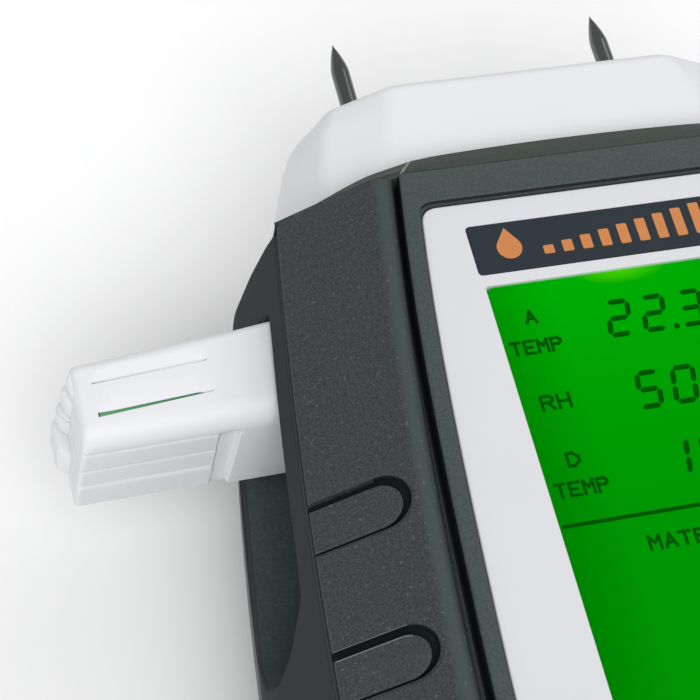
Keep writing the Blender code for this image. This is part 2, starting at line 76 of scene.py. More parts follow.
# Case
GAP = 0.3
OUTSIDE = 40.0
FACE_Z = 36.0
SEAM_LOW = 13.4
SEAM_HIGH = SEAM_LOW + GAP
CASE_TOP = 63.2
BROW_Y = 62.6
CASE_BOTTOM = SHELL_LOW.y
ROUNDING_START = -64.0
CHANNEL_END = -66.2
WIDEST_Y = 2.5
GROOVE_HALF = 19.44
SIDE_CURVE_ABOVE = 0.0013
SIDE_CURVE_BELOW = 0.0010
GRIP_WIDTH = 8.8
SIDE_BULGE = 3.3
BULGE_REACH = 60.0
WALL = 2.3
BACK_WALL = 3.6
FACE_INNER_Z = 33.0
CHANNEL_EDGE_Z = 29.5
CHANNEL_INNER_Z = 34.05
LIP = 0.14
FRAME_STEP = 0.27
FRAME_TAPER = 0.37
TAPER_TOP = 56.0
TAPER_LENGTH = 30.0
REAR_ROUNDING_START = 59.0
FRONT_POST_RADIUS = 3.0
REAR_POST_RADIUS = 3.4
SCREW_HOLE_RADIUS = 1.6
BLOCK_HOLE_HALF = 13.3
BLOCK_HOLE_LOW = 10.0
BLOCK_HOLE_HIGH = 26.3
BOSS_X = -18.2
BOSS_LOW_Y = 28.0
BOSS_HIGH_Y = 59.5

# Brow: the strip along the case's top end
BROW_END = 23.7
BROW_UNDER_Z = 32.65
BROW_REACH = 2.7
BROW_CORNER_REACH = 2.0
BROW_FALL = 1.8
BROW_CORNER_FALL = 1.4
BROW_LEAN = 0.72
BROW_BACK = 0.4

# Back: the door's track, the battery bay and the groove round the electrode
DOOR_HALF = 14.0
DOOR_TONGUE = 1.4
DOOR_LIP = 0.9
DOOR_THICK = 1.9
BAY_HALF = 13.6
BAY_LOW_Y = -69.3
BAY_HIGH_Y = -18.0
ELECTRODE_Y = 36.0
ELECTRODE_HALF_X = 13.0
ELECTRODE_HALF_Y = 16.0

# Grips
GRIP_TOP_Z = GRIP_HIGH.z - 0.1
GRIP_SHOULDER_Z = 35.15
GRIP_SHOULDER = 1.85
GRIP_EDGE_Z = 31.0
GRIP_UNDER_Z = GRIP_LOW.z
GRIP_SLOPE = (GRIP_SHOULDER_Z - GRIP_EDGE_Z) / (GRIP_WIDTH - GRIP_SHOULDER)
PADS = 5
PAD_FIRST_Y = 36.8
PAD_PITCH = 11.45
PAD_RADIUS = 2.0
PAD_INNER_RADIUS = 1.605
PAD_INNER_SHIFT = 0.255
PAD_REACH = 2.05
PAD_END_WIDTH = 0.62
PAD_DEPTH = 0.85

# Window plate
PLATE_INSET = 1.48
PLATE_TOP = 59.85
PLATE_BOTTOM = -62.0
PLATE_CORNER = 1.4
PLATE_LEDGE = 0.2
PLATE_UNDER = 34.6
BAND_POCKET_FLOOR = 34.95
BAND_UNDER = 35.0
LEDGE = 1.8
LEDGE_Z = 34.3

# Keys
KEY_FLANGE = 0.9
KEY_FLANGE_LOW = 33.2
KEY_FLANGE_HIGH = 34.2
KEY_CORNER = 1.9
KEY_EDGE = 0.75

# Cap and pins
CAP_WALL = 1.8
PIN_Z = 20.2
PIN_X = 12.0
PIN_RADIUS = 0.8
PIN_POINT = 3.1

# Sensor arm and its hinge
HINGE_X = -24.0
HINGE_Y = 52.7
HUB_RADIUS = 4.1
HINGE_HOLE_RADIUS = 1.25
HINGE_HOLE_TOP = 28.2
ARM_LOW = COVER_LOW.z
ARM_HIGH = COVER_HIGH.z
ARM_SPLIT = 22.0
ARM_END = -41.0
ROOT_SPLIT = 17.0
POCKET_X = -29.25
END_ROUNDING = 0.65
POCKET_STEP = 0.15
POCKET_FLOOR = 1.3
POCKET_DEPTH = 0.5
POCKET_LEAN = 0.05
FINS = ((25.2, 26.6), (22.6, 24.8), (19.85, 22.2), (16.15, 19.45))
SLATS = ((ARM_LOW, 19.45), (19.45, 22.15), (22.15, 24.7))
ARM_ROUNDING = 1.9
SLOT_LEAN = 0.071
SLOTS = ((50.63, (0.24, 0.07)), (53.35, (0.1, 0.08)))
FIN_TIP = -41.4
FIN_STEP = 0.35
BEND_START = -38.0
BEND = 0.045
RECESS_LOW = 14.9
RECESS_HIGH = 27.3
RECESS_FLOOR_X = -19.5

KEYS = ("mode", "hold", "menu", "power")


def middle_and_half(low, high):
    return (low + high) / 2, (high - low) / 2


# ---- solids ----


def loft(rings):
    """Skins rings that have the same number of points, and closes both ends."""
    solid = bmesh.new()
    loops = [[solid.verts.new(point) for point in ring] for ring in rings]
    count = len(loops[0])
    for first, second in zip(loops, loops[1:]):
        for i in range(count):
            j = (i + 1) % count
            solid.faces.new((first[i], first[j], second[j], second[i]))
    solid.faces.new(loops[0])
    solid.faces.new(loops[-1])
    bmesh.ops.recalc_face_normals(solid, faces=solid.faces)
    return solid


def prism(outline, low, high):
    """Extrudes an outline in X and Y from z=low to z=high."""
    return loft([[(x, y, z) for x, y in outline] for z in (low, high)])


def box(low, high):
    outline = [(low[0], low[1]), (high[0], low[1]), (high[0], high[1]), (low[0], high[1])]
    return prism(outline, low[2], high[2])


def circle(x, y, radius, sides=32, start=0.0, turn=2 * math.pi):
    steps = sides if turn == 2 * math.pi else sides + 1
    angles = [start + turn * i / sides for i in range(steps)]
    return [(x + radius * math.cos(a), y + radius * math.sin(a)) for a in angles]


def rounded(points, radii, steps=4, closed=True):
    """The same path with a soft curve at each corner; a radius of 0 keeps the corner."""
    path = []
    for i, (point, radius) in enumerate(zip(points, radii)):
        corner = Vector(point)
        at_end = not closed and i in (0, len(points) - 1)
        if radius == 0 or at_end:
            path.append(tuple(corner))
            continue
        back = Vector(points[i - 1]) - corner
        ahead = Vector(points[(i + 1) % len(points)]) - corner
        reach = radius / math.tan(back.angle(ahead) / 2)
        reach = min(reach, 0.49 * back.length, 0.49 * ahead.length)
        start = corner + back.normalized() * reach
        end = corner + ahead.normalized() * reach
        for k in range(steps + 1):
            t = k / steps
            path.append(tuple(start * (1 - t) ** 2 + corner * (2 * t * (1 - t)) + end * t * t))
    return path


def rectangle(low_x, high_x, low_y, high_y):
    return [(low_x, low_y), (high_x, low_y), (high_x, high_y), (low_x, high_y)]


def rounded_rectangle(x, y, half_x, half_y, radius, steps=6):
    corners = rectangle(x - half_x, x + half_x, y - half_y, y + half_y)
    return rounded(corners, [radius] * 4, steps)


def grown(outline, amount):
    """A closed outline moved outwards along its own normals; it may run either way round."""
    area = sum(a[0] * b[1] - b[0] * a[1] for a, b in zip(outline, outline[1:] + outline[:1]))
    turn = 1 if area > 0 else -1
    result = []
    for i, point in enumerate(outline):
        along = Vector(outline[(i + 1) % len(outline)]) - Vector(outline[i - 1])
        outward = Vector((along.y, -along.x)).normalized() * turn
        result.append(tuple(Vector(point) + outward * amount))
    return result


def turned(x, z, profile, sides=40):
    """A round solid about a line along Y: profile is a list of (y, radius)."""
    return loft([[(px, y, pz) for px, pz in circle(x, z, radius, sides)] for y, radius in profile])


def stations(low, high, count):
    return [low + (high - low) * i / (count - 1) for i in range(count)]


def joined(*solids):
    result = bmesh.new()
    for solid in solids:
        mesh = bpy.data.meshes.new("part")
        solid.to_mesh(mesh)
        solid.free()
        result.from_mesh(mesh)
        bpy.data.meshes.remove(mesh)
    return result


def lip_levels(radius, steps=4):
    """(outward, inward) pairs that round the rim of a hole, from the wall to the surface."""
    angles = [math.pi / 2 * (1 - i / steps) for i in range(steps)]
    levels = [(radius * (1 - math.sin(a)), radius * (1 - math.cos(a))) for a in angles]
    return levels + [(radius * 1.2, -radius * 0.05)]


def rimmed_hole(outline, low, surface, lip):
    """Cuts from z=low up through a flat surface, and rounds the rim there."""
    rings = [[(x, y, low) for x, y in outline]]
    for out, down in lip_levels(lip):
        rings.append([(x, y, surface - down) for x, y in grown(outline, out)])
    rings.append([(x, y, surface + 3) for x, y in grown(outline, lip * 1.25)])
    return loft(rings)


def eased_plate(outline, low, high, edge=0.2, steps=3):
    """A flat piece whose top edge is rounded."""
    rings = [[(x, y, low) for x, y in outline]]
    for i in range(steps + 1):
        a = math.pi / 2 * i / steps
        inset = grown(outline, -edge * (1 - math.cos(a)))
        rings.append([(x, y, high - edge * (1 - math.sin(a))) for x, y in inset])
    return loft(rings)


# ---- objects ----


def make_object(name, solid):
    bmesh.ops.scale(solid, vec=(MM, MM, MM), verts=solid.verts)
    mesh = bpy.data.meshes.new(name)
    solid.to_mesh(mesh)
    solid.free()
    obj = bpy.data.objects.new(name, mesh)
    bpy.context.scene.collection.objects.link(obj)
    shade(obj)
    return obj


def shade(obj, sharp=35):
    obj.data.shade_smooth()
    obj.data.set_sharp_from_angle(angle=math.radians(sharp))


def apply_modifiers(obj):
    graph = bpy.context.evaluated_depsgraph_get()
    mesh = bpy.data.meshes.new_from_object(obj.evaluated_get(graph))
    obj.modifiers.clear()
    old = obj.data
    obj.data = mesh
    bpy.data.meshes.remove(old)


def combine(obj, operation, tool):
    """Applies one exact Boolean with another object, which is used up."""
    modifier = obj.modifiers.new("Boolean", "BOOLEAN")
    modifier.operation = operation
    modifier.solver = "EXACT"
    modifier.object = tool
    apply_modifiers(obj)
    bpy.data.objects.remove(tool)


def add_solid(obj, solid):
    combine(obj, "UNION", make_object("tool", solid))


def cut(obj, solid):
    combine(obj, "DIFFERENCE", make_object("tool", solid))


def cut_by(obj, tool):
    combine(obj, "DIFFERENCE", tool)


def clean(obj):
    """Merges points that coincide and drops faces without an area."""
    solid = bmesh.new()
    solid.from_mesh(obj.data)
    bmesh.ops.remove_doubles(solid, verts=solid.verts, dist=0.001 * MM)
    bmesh.ops.dissolve_degenerate(solid, edges=solid.edges, dist=0.001 * MM)
    solid.to_mesh(obj.data)
    solid.free()


def finished(obj, body, slot, replaced=(), sharp=32, material=None, zones=()):
    """Gives a piece its shading, its finish (the slot's finish unless another material is named) and its
    body.

    A zone is another finish and a test of a face's middle, in millimetres.
    """
    clean(obj)
    shade(obj, sharp)
    weighted = obj.modifiers.new("Weighted normals", "WEIGHTED_NORMAL")
    weighted.keep_sharp = True
    obj.data.materials.clear()
    obj.data.materials.append(finishes[material or slot])
    for index, (zone_finish, inside) in enumerate(zones, 1):
        obj.data.materials.append(finishes[zone_finish])
        for polygon in obj.data.polygons:
            if inside(polygon.center / MM):
                polygon.material_index = index
    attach(obj, body)
    if replaced:
        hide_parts(*replaced)


# ---- materials ----


def add_node(tree, kind, inputs, **settings):
    made = tree.nodes.new(kind)
    for key, value in settings.items():
        setattr(made, key, value)
    for key, value in inputs.items():
        if isinstance(value, bpy.types.NodeSocket):
            tree.links.new(value, made.inputs[key])
        else:
            made.inputs[key].default_value = value
    return made


def object_place(tree):
    return add_node(tree, "ShaderNodeTexCoord", {}).outputs["Object"]


def place_axes(tree):
    return add_node(tree, "ShaderNodeSeparateXYZ", {"Vector": object_place(tree)}).outputs


def maths(tree, operation, *values):
    return add_node(tree, "ShaderNodeMath", dict(enumerate(values)), operation=operation).outputs[0]


def noise(tree, size_mm, detail=2.0):
    inputs = {"Vector": object_place(tree), "Scale": 1 / (size_mm * MM), "Detail": detail}
    return add_node(tree, "ShaderNodeTexNoise", inputs).outputs["Fac"]


def ranged(tree, value, low, high, to_low, to_high):
    inputs = {"Value": value, "From Min": low, "From Max": high, "To Min": to_low, "To Max": to_high}
    return add_node(tree, "ShaderNodeMapRange", inputs).outputs["Result"]


def mixed(tree, factor, first, second):
    inputs = {0: factor, 6: first, 7: second}
    return add_node(tree, "ShaderNodeMix", inputs, data_type="RGBA").outputs[2]


def lighter(colour, share):
    return tuple(min(1.0, c * share) for c in colour) + (1.0,)


def new_material(name):
    material = bpy.data.materials.new(name)
    material.use_nodes = True
    return material, material.node_tree, material.node_tree.nodes["Principled BSDF"]


DARK = (0.050, 0.064, 0.064)


def shoulder_tone_and_groove_shade(tree, tone):
    """The strip of each grip beside the groove shows the frame's plastic; lower down, painted shade darkens
    it almost to black in the groove.
    """
    axes = place_axes(tree)
    x = maths(tree, "ABSOLUTE", maths(tree, "DIVIDE", axes["X"], MM))
    up = maths(tree, "SUBTRACT", maths(tree, "DIVIDE", axes["Y"], MM), WIDEST_Y)
    above = maths(tree, "GREATER_THAN", up, 0.0)
    extra = maths(tree, "MULTIPLY", above, SIDE_CURVE_ABOVE - SIDE_CURVE_BELOW)
    curve = maths(tree, "ADD", extra, SIDE_CURVE_BELOW)
    narrowing = maths(tree, "MULTIPLY", maths(tree, "MULTIPLY", up, up), curve)
    distance = maths(tree, "ADD", maths(tree, "SUBTRACT", x, GROOVE_HALF), narrowing)
    share = ranged(tree, distance, 1.75, 1.2, 0.0, 1.0)
    tone = mixed(tree, share, tone, lighter(DARK, 1.05))
    # Painted shade: the colour turns nearly black towards the bottom of the groove.
    deep = ranged(tree, distance, 0.75, 0.15, 0.0, 0.9)
    return mixed(tree, deep, tone, lighter(DARK, 0.15))


def moulded(name, colour, roughness, grain=0.3, depth=0.01, specks=0.0, mottle=0.06, wear_and_highlight=0.0,
            specular=0.5, metallic=0.0, speckle=0.0, tint_and_shade=None):
    """A moulded or ground surface: grain, light specks, blotches, an optional tint that can carry painted
    shade, and paler edges that are partly worn and partly a painted highlight.
    """
    material, tree, shader = new_material(name)
    blotches = ranged(tree, noise(tree, 14.0), 0.3, 0.7, 0.0, 1.0)
    tone = mixed(tree, blotches, lighter(colour, 1 - mottle), lighter(colour, 1 + mottle))
    fine = noise(tree, grain, 3.0)
    if speckle:
        share = ranged(tree, noise(tree, grain, 1.0), 0.35, 0.65, 0.0, 1.0)
        tone = mixed(tree, share, lighter(colour, 1 - speckle), lighter(colour, 1 + speckle))
    if tint_and_shade:
        tone = tint_and_shade(tree, tone)
    if specks:
        dots = ranged(tree, noise(tree, grain * 2.2, 0.0), 0.73, 0.8, 0.0, specks)
        tone = mixed(tree, dots, tone, lighter(colour, 3.0))
    # Paler convex edges: partly rubbed wear, partly a painted highlight where edges catch the light.
    if wear_and_highlight:
        edge = add_node(tree, "ShaderNodeNewGeometry", {}).outputs["Pointiness"]
        rubbed_and_lit = ranged(tree, edge, 0.52, 0.6, 0.0, wear_and_highlight)
        tone = mixed(tree, rubbed_and_lit, tone, lighter(colour, 1.9))
    tree.links.new(tone, shader.inputs["Base Color"])
    varied = ranged(tree, fine, 0.3, 0.7, roughness - 0.05, roughness + 0.05)
    tree.links.new(varied, shader.inputs["Roughness"])
    bump = add_node(tree, "ShaderNodeBump", {"Height": fine, "Distance": depth * MM, "Strength": 1.0})
    tree.links.new(bump.outputs["Normal"], shader.inputs["Normal"])
    shader.inputs["Specular IOR Level"].default_value = specular
    shader.inputs["Metallic"].default_value = metallic
    return material


def glow_with(tree, shader, tone):
    """Makes a surface that only gives out light, of the given colour."""
    shader.inputs["Base Color"].default_value = (0.0, 0.004, 0.0, 1)
    shader.inputs["Roughness"].default_value = 0.5
    shader.inputs["Specular IOR Level"].default_value = 0.0
    tree.links.new(tone, shader.inputs["Emission Color"])
    shader.inputs["Emission Strength"].default_value = 1.0


def glowing_window():
    """The backlit window: even green, darker towards its edges, with a lamp behind the top edge."""
    material, tree, shader = new_material("display_window")
    axes = place_axes(tree)

    def fade(axis, edge, inner):
        return ranged(tree, axes[axis], edge * MM, inner * MM, 0.0, 1.0)

    left = fade("X", LENS_LOW.x - 3, LENS_LOW.x + 5)
    right = fade("X", LENS_HIGH.x + 3, LENS_HIGH.x - 5)
    top = fade("Y", LENS_HIGH.y - 26, LENS_HIGH.y - 1)
    even = maths(tree, "MULTIPLY", left, right)
    green = mixed(tree, even, (0.0, 0.17, 0.0, 1), (0.0, 0.295, 0.001, 1))
    upper = maths(tree, "MULTIPLY", maths(tree, "MULTIPLY", top, top), even)
    green = mixed(tree, upper, green, (0.0, 0.41, 0.001, 1))
    centre = (0.4 * MM, LENS_HIGH.y * MM + 0.0006, LENS_HIGH.z * MM)
    offset = add_node(tree, "ShaderNodeVectorMath", {0: object_place(tree), 1: centre}, operation="SUBTRACT")
    flattened = {0: offset.outputs[0], 1: (0.42, 1.0, 1.0)}
    stretched = add_node(tree, "ShaderNodeVectorMath", flattened, operation="MULTIPLY")
    far = add_node(tree, "ShaderNodeVectorMath", {0: stretched.outputs[0]}, operation="LENGTH")
    lamp = ranged(tree, far.outputs["Value"], 1.7 * MM, 0.5 * MM, 0.0, 1.0)
    mottled = ranged(tree, noise(tree, 5.0), 0.3, 0.7, 0.85, 1.0)
    share = maths(tree, "MULTIPLY", lamp, mottled)
    glow_with(tree, shader, mixed(tree, share, green, (0.06, 0.66, 0.001, 1)))
    return material


def display_ink():
    """Switched-on segments: a darker green that lets a little of the light through."""
    material, tree, shader = new_material("display_ink")
    glow_with(tree, shader, mixed(tree, noise(tree, 1.5), (0.0, 0.08, 0.0, 1), (0.0, 0.096, 0.001, 1)))
    return material


# Each finish: its colour, roughness, grain size and grain depth, then its other settings.
LOOKS = {
    "dark_shell": (DARK, 0.5, 0.17, 0.012, {"speckle": 0.16, "wear_and_highlight": 0.2, "specular": 0.3}),
    "grip_rubber": (
        (0.042, 0.048, 0.050), 0.62, 0.15, 0.02,
        {"speckle": 0.3, "specks": 0.4, "wear_and_highlight": 0.2, "specular": 0.25, "tint_and_shade": shoulder_tone_and_groove_shade},
    ),
    "white_plastic": ((0.77, 0.775, 0.80), 0.45, 0.5, 0.003, {"mottle": 0.012, "specular": 0.3}),
    "label": ((0.017, 0.027, 0.034), 0.5, 0.6, 0.002, {"specular": 0.2}),
    "lcd_glass": ((0.0, 0.2, 0.02), 0.15, 2.0, 0.001, {}),
    "light_guide": ((0.7, 0.8, 0.7), 0.4, 1.0, 0.004, {}),
    "circuit_board": ((0.16, 0.46, 0.22), 0.4, 0.7, 0.006, {"mottle": 0.15}),
    "steel": ((0.42, 0.42, 0.40), 0.22, 0.35, 0.001, {"mottle": 0.1, "metallic": 1.0}),
    "black_plastic": ((0.02, 0.02, 0.022), 0.45, 0.3, 0.01, {}),
    "key_rubber": ((0.045, 0.055, 0.058), 0.6, 0.2, 0.012, {"specks": 0.05, "wear_and_highlight": 0.3}),
    "battery_wrap": ((0.09, 0.09, 0.10), 0.35, 1.0, 0.003, {}),
    "copper": ((0.7, 0.35, 0.2), 0.3, 0.8, 0.003, {"metallic": 1.0}),
    # Painted light and shade: rim_shadow and groove_shadow are painted shadow, the side walls' finish is a
    # darker copy for painted shade, and the crease and pad-edge finishes are painted highlights.
    "rim_shadow": ((0.022, 0.026, 0.027), 0.7, 0.2, 0.01, {"specular": 0.1}),
    "lip_plastic": ((0.033, 0.049, 0.038), 0.55, 0.2, 0.012, {"specular": 0.25}),
    "crease_painted_highlight": ((0.2, 0.26, 0.21), 0.5, 0.2, 0.012, {"specular": 0.3}),
    "side_wall_painted_shade": ((0.042, 0.046, 0.049), 0.75, 0.16, 0.012, {"mottle": 0.05, "specular": 0.05}),
    "groove_shadow": ((0.010, 0.014, 0.014), 0.8, 0.2, 0.01, {"specular": 0.08}),
    "pad_edge_painted_highlight": ((0.17, 0.19, 0.19), 0.6, 0.15, 0.02, {"specular": 0.3}),
    "orange_ink": ((0.56, 0.20, 0.048), 0.45, 0.4, 0.002, {}),
    "pin_steel": ((0.13, 0.14, 0.135), 0.2, 0.6, 0.002, {"mottle": 0.1, "metallic": 1.0}),
    "plate_white": ((0.665, 0.675, 0.70), 0.45, 0.5, 0.003, {"mottle": 0.012, "specular": 0.3}),
    "pale_ink": ((0.6, 0.62, 0.63), 0.5, 0.4, 0.002, {}),
}
finishes = {name: moulded(name, *look, **others) for name, (*look, others) in LOOKS.items()}
finishes["display_lens"] = glowing_window()
finishes["display_ink"] = display_ink()


# ---- the case's outline ----


def groove_x(y):
    """How far out the groove between the frame and the grip is; everything else follows this curve."""
    curve = SIDE_CURVE_ABOVE if y > WIDEST_Y else SIDE_CURVE_BELOW
    return GROOVE_HALF - curve * (y - WIDEST_Y) ** 2


def edge_x(y):
    return groove_x(y) + GRIP_WIDTH


def frame_taper(y):
    """How much further in the window's frame sits towards the lower part of the case."""
    t = min(1.0, max(0.0, (TAPER_TOP - y) / TAPER_LENGTH))
    return FRAME_TAPER * t * t * (3 - 2 * t)


def frame_edge_x(y):
    return groove_x(y) - FRAME_STEP - frame_taper(y)


def bulge(y):
    return SIDE_BULGE - ((y - WIDEST_Y) / BULGE_REACH) ** 2


def mirrored(half, y):
    """A full ring from a right half that starts and ends on the middle line."""
    right = [(x, y, z) for x, z in half]
    left = [(-x, y, z) for x, z in reversed(half[1:-1])]
    return right + left


def scaled(half, seam, width, height):
    return [(x * width, seam + (z - seam) * height) for x, z in half]


def front_half(y, width=1.0, height=1.0, channel=True):
    """Right half of the front shell's section, from the seam to the middle of the face."""
    groove = groove_x(y)
    edge = edge_x(y)
    side = bulge(y)
    if channel:
        rim = (edge + 0.05 * side, CHANNEL_EDGE_Z)
        inner = (frame_edge_x(y), CHANNEL_INNER_Z)
        face = (frame_edge_x(y), FACE_Z)
    else:
        rim = (edge + 0.05 * side, GRIP_EDGE_Z)
        inner = (groove + GRIP_SHOULDER, GRIP_SHOULDER_Z)
        face = (groove - 0.2, FACE_Z)
    points = [
        (0.0, SEAM_HIGH),
        (edge + 0.92 * side, SEAM_HIGH),
        (edge + side, 18.0),
        (edge + 0.62 * side, 24.0),
        (edge + 0.25 * side, 28.0),
        rim,
        inner,
        face,
        (0.0, FACE_Z),
    ]
    radii = [0, 0.25, 15, 30, 12, 0.35, 0.3, 0.24, 0]
    return scaled(rounded(points, radii, closed=False), SEAM_HIGH, width, height)


def rear_half(y, width=1.0, height=1.0):
    """Right half of the rear shell's section, from the middle of the back to the seam."""
    side = edge_x(y) + bulge(y)
    points = [
        (0.0, 0.0),
        (side - 7.5, 0.0),
        (side - 4.2, 1.0),
        (side - 1.9, 4.2),
        (side - 0.7, 8.6),
        (side - 0.3, SEAM_LOW),
        (0.0, SEAM_LOW),
    ]
    return scaled(rounded(points, [0, 6, 4, 8, 15, 0.25, 0], closed=False), SEAM_LOW, width, height)


def side_x(y, z):
    """How far out the front shell's side wall is at a height."""
    wall = [(x, height) for x, height in front_half(y)[1:] if x > edge_x(y)]
    for (x0, z0), (x1, z1) in zip(wall, wall[1:]):
        if z0 <= z <= z1 and z1 > z0:
            return x0 + (x1 - x0) * (z - z0) / (z1 - z0)
    return wall[0][0]


def end_rings(half_section, steps=9, **options):
    """Rings of the rounded lower end, whose width and height fade along a quarter circle."""
    rings = []
    reach = ROUNDING_START - CASE_BOTTOM
    for i in range(steps, 0, -1):
        angle = math.pi / 2 * i / steps
        y = ROUNDING_START - reach * math.sin(angle)
        width = 0.62 + 0.38 * math.cos(angle)
        height = 0.72 + 0.28 * math.cos(angle)
        rings.append(mirrored(half_section(y, width, height, **options), y))
    return rings


def inner_half_front(y):
    groove = groove_x(y)
    edge = edge_x(y)
    side = edge + bulge(y)
    return [
        (0.0, SEAM_HIGH - 2),
        (side - WALL - 0.2, SEAM_HIGH - 2),
        (side - WALL, 18.0),
        (edge - 1.9, 27.2),
        (groove - 1.0, 32.0),
        (groove - 2.4, FACE_INNER_Z),
        (0.0, FACE_INNER_Z),
    ]


def inner_half_rear(y):
    side = edge_x(y) + bulge(y)
    return [
        (0.0, BACK_WALL),
        (side - 7.0, BACK_WALL),
        (side - 4.0, 6.0),
        (side - 2.9, 10.0),
        (side - 2.6, SEAM_LOW + 2),
        (0.0, SEAM_LOW + 2),
    ]


def hollow(inner_half):
    """The space inside a shell, as an object to cut with."""
    first = mirrored([(x * 0.8, z) for x, z in inner_half(-72.0)], -72.0)
    rest = [mirrored(inner_half(y), y) for y in stations(-66.0, CASE_TOP - WALL, 12)]
    return make_object("cavity", loft([first] + rest))


def screw_places():
    """Middle of each case screw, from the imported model."""
    places = []
    for i in range(1, 5):
        low, high = box_mm(f"case_screw_{i}")
        places.append(((low.x + high.x) / 2, (low.y + high.y) / 2))
    return places


SCREWS = screw_places()


def plate_outline(inset, corner=PLATE_CORNER):
    """The window's outline: curved sides and small corners."""
    bottom = PLATE_BOTTOM + inset
    top = PLATE_TOP - inset
    ys = stations(bottom, top, 30)
    right = [(groove_x(y) - PLATE_INSET - frame_taper(y) - inset, y) for y in ys]
    points = right + [(-x, y) for x, y in reversed(right)]
    last = len(right) - 1
    radii = [corner if i in (0, last, last + 1, 2 * last + 1) else 0 for i in range(len(points))]
    return rounded(points, radii, 6)


def recess_outline():
    """The boat-shaped pocket in the left side, seen along X, as (y, z)."""
    points = [
        (57.1, RECESS_LOW),
        (57.1, RECESS_HIGH),
        (33.4, RECESS_HIGH),
        (30.4, 24.2),
        (29.3, 21.0),
        (30.3, 17.6),
        (33.0, RECESS_LOW),
    ]
    return rounded(points, [0.8, 0.8, 2.5, 4.0, 3.0, 4.0, 2.5], 6)


def recess_cutter():
    """The pocket, with a rim that follows the bulging side."""
    outline = recess_outline()
    rings = [[(RECESS_FLOOR_X, y, z) for y, z in outline]]
    for out, inward in lip_levels(0.3, 5):
        rings.append([(-side_x(y, z) + inward, y, z) for y, z in grown(outline, out)])
    rings.append([(-OUTSIDE, y, z) for y, z in grown(outline, 0.38)])
    return loft(rings)


def case_front():
    """The front shell: lofted along Y, hollowed, then cut for the window, the pocket and the screws."""
    rings = [ring for ring in end_rings(front_half, channel=False) if ring[0][1] < CHANNEL_END]
    last = CHANNEL_END + 0.01
    rings.append(mirrored(front_half(last, channel=False), last))
    rings += [mirrored(front_half(y), y) for y in stations(CHANNEL_END + 0.02, BROW_Y, 46)]
    end = scaled(front_half(CASE_TOP), SEAM_HIGH, 0.98, 0.98)
    rings.append(mirrored(end, CASE_TOP))
    shell = make_object("case_front", loft(rings))
    cavity = hollow(inner_half_front)
    cut(cavity, box((-OUTSIDE, BOSS_LOW_Y, RECESS_LOW - 1.5), (BOSS_X, BOSS_HIGH_Y, OUTSIDE)))
    for x, y in SCREWS:
        cut(cavity, prism(circle(x, y, FRONT_POST_RADIUS), SEAM_HIGH + GAP, FACE_INNER_Z + 0.5))
    cut_by(shell, cavity)
    cut(shell, rimmed_hole(plate_outline(0.0), PLATE_HIGH.z + 0.05, FACE_Z, LIP))
    cut(shell, prism(plate_outline(PLATE_LEDGE), LEDGE_Z, FACE_Z - 0.1))
    cut(shell, prism(plate_outline(LEDGE), 30.0, 35.0))
    cut(shell, recess_cutter())
    block_low = (-BLOCK_HOLE_HALF, CASE_TOP - 4.2, BLOCK_HOLE_LOW)
    cut(shell, box(block_low, (BLOCK_HOLE_HALF, CASE_TOP + 2.8, BLOCK_HOLE_HIGH)))
    cut(shell, prism(circle(HINGE_X, HINGE_Y, HINGE_HOLE_RADIUS), 12.0, HINGE_HOLE_TOP))
    for x, y in SCREWS:
        cut(shell, prism(circle(x, y, SCREW_HOLE_RADIUS, 20), 10.0, 22.0))
    # Zones: painted shade on the side walls, painted shadow in the channel and on the rim wall round the
    # plate.
    zones = (("side_wall_painted_shade", on_side_wall), ("groove_shadow", in_channel), ("rim_shadow", on_rim_wall))
    finished(shell, CASE, "dark_shell", ["front_shell"], zones=zones)


# Faces of the side walls below the grips, which get a darker copy of the shell's plastic as painted shade.
def on_side_wall(point):
    beside = abs(point.x) > edge_x(point.y) - 0.3 and point.y > GRIP_LOW.y
    return beside and point.z < CHANNEL_EDGE_Z + 0.2


def on_rim_wall(point):
    """The low wall round the window plate."""
    beside = frame_edge_x(point.y) - 0.4 > abs(point.x) and point.y > PLATE_BOTTOM - 1.0
    return beside and PLATE_HIGH.z + 0.08 < point.z < FACE_Z - 0.08


def in_channel(point):
    inside = CHANNEL_END < point.y < BROW_Y and point.z > CHANNEL_EDGE_Z + 0.2
    distance = abs(point.x) - frame_edge_x(point.y)
    return inside and -0.05 < distance < 3.0 and point.z < FACE_Z - 0.3


def case_surface_z(x, y):
    """Height of the front's outer envelope, over the frame, the groove and the grip."""
    groove = groove_x(y)
    frame_edge = groove - 0.5 - frame_taper(y)
    shoulder = groove + GRIP_SHOULDER
    if x <= frame_edge:
        return FACE_Z
    if x <= shoulder:
        return FACE_Z + (GRIP_SHOULDER_Z - FACE_Z) * (x - frame_edge) / (shoulder - frame_edge)
    return GRIP_SHOULDER_Z - GRIP_SLOPE * (x - shoulder)


def brow_shape(x):
    """How far the brow reaches forward and falls at a distance from the middle."""
    corner = groove_x(BROW_Y) - 0.2
    if x <= corner:
        t = x / corner
        reach = BROW_REACH - (BROW_REACH - BROW_CORNER_REACH) * t * t
        return reach, BROW_FALL - (BROW_FALL - BROW_CORNER_FALL) * t * t
    t = (x - corner) / (BROW_END - corner)
    return BROW_CORNER_REACH * (1 - t) ** 1.1 + 0.02, BROW_CORNER_FALL * (1 - t) + 0.02


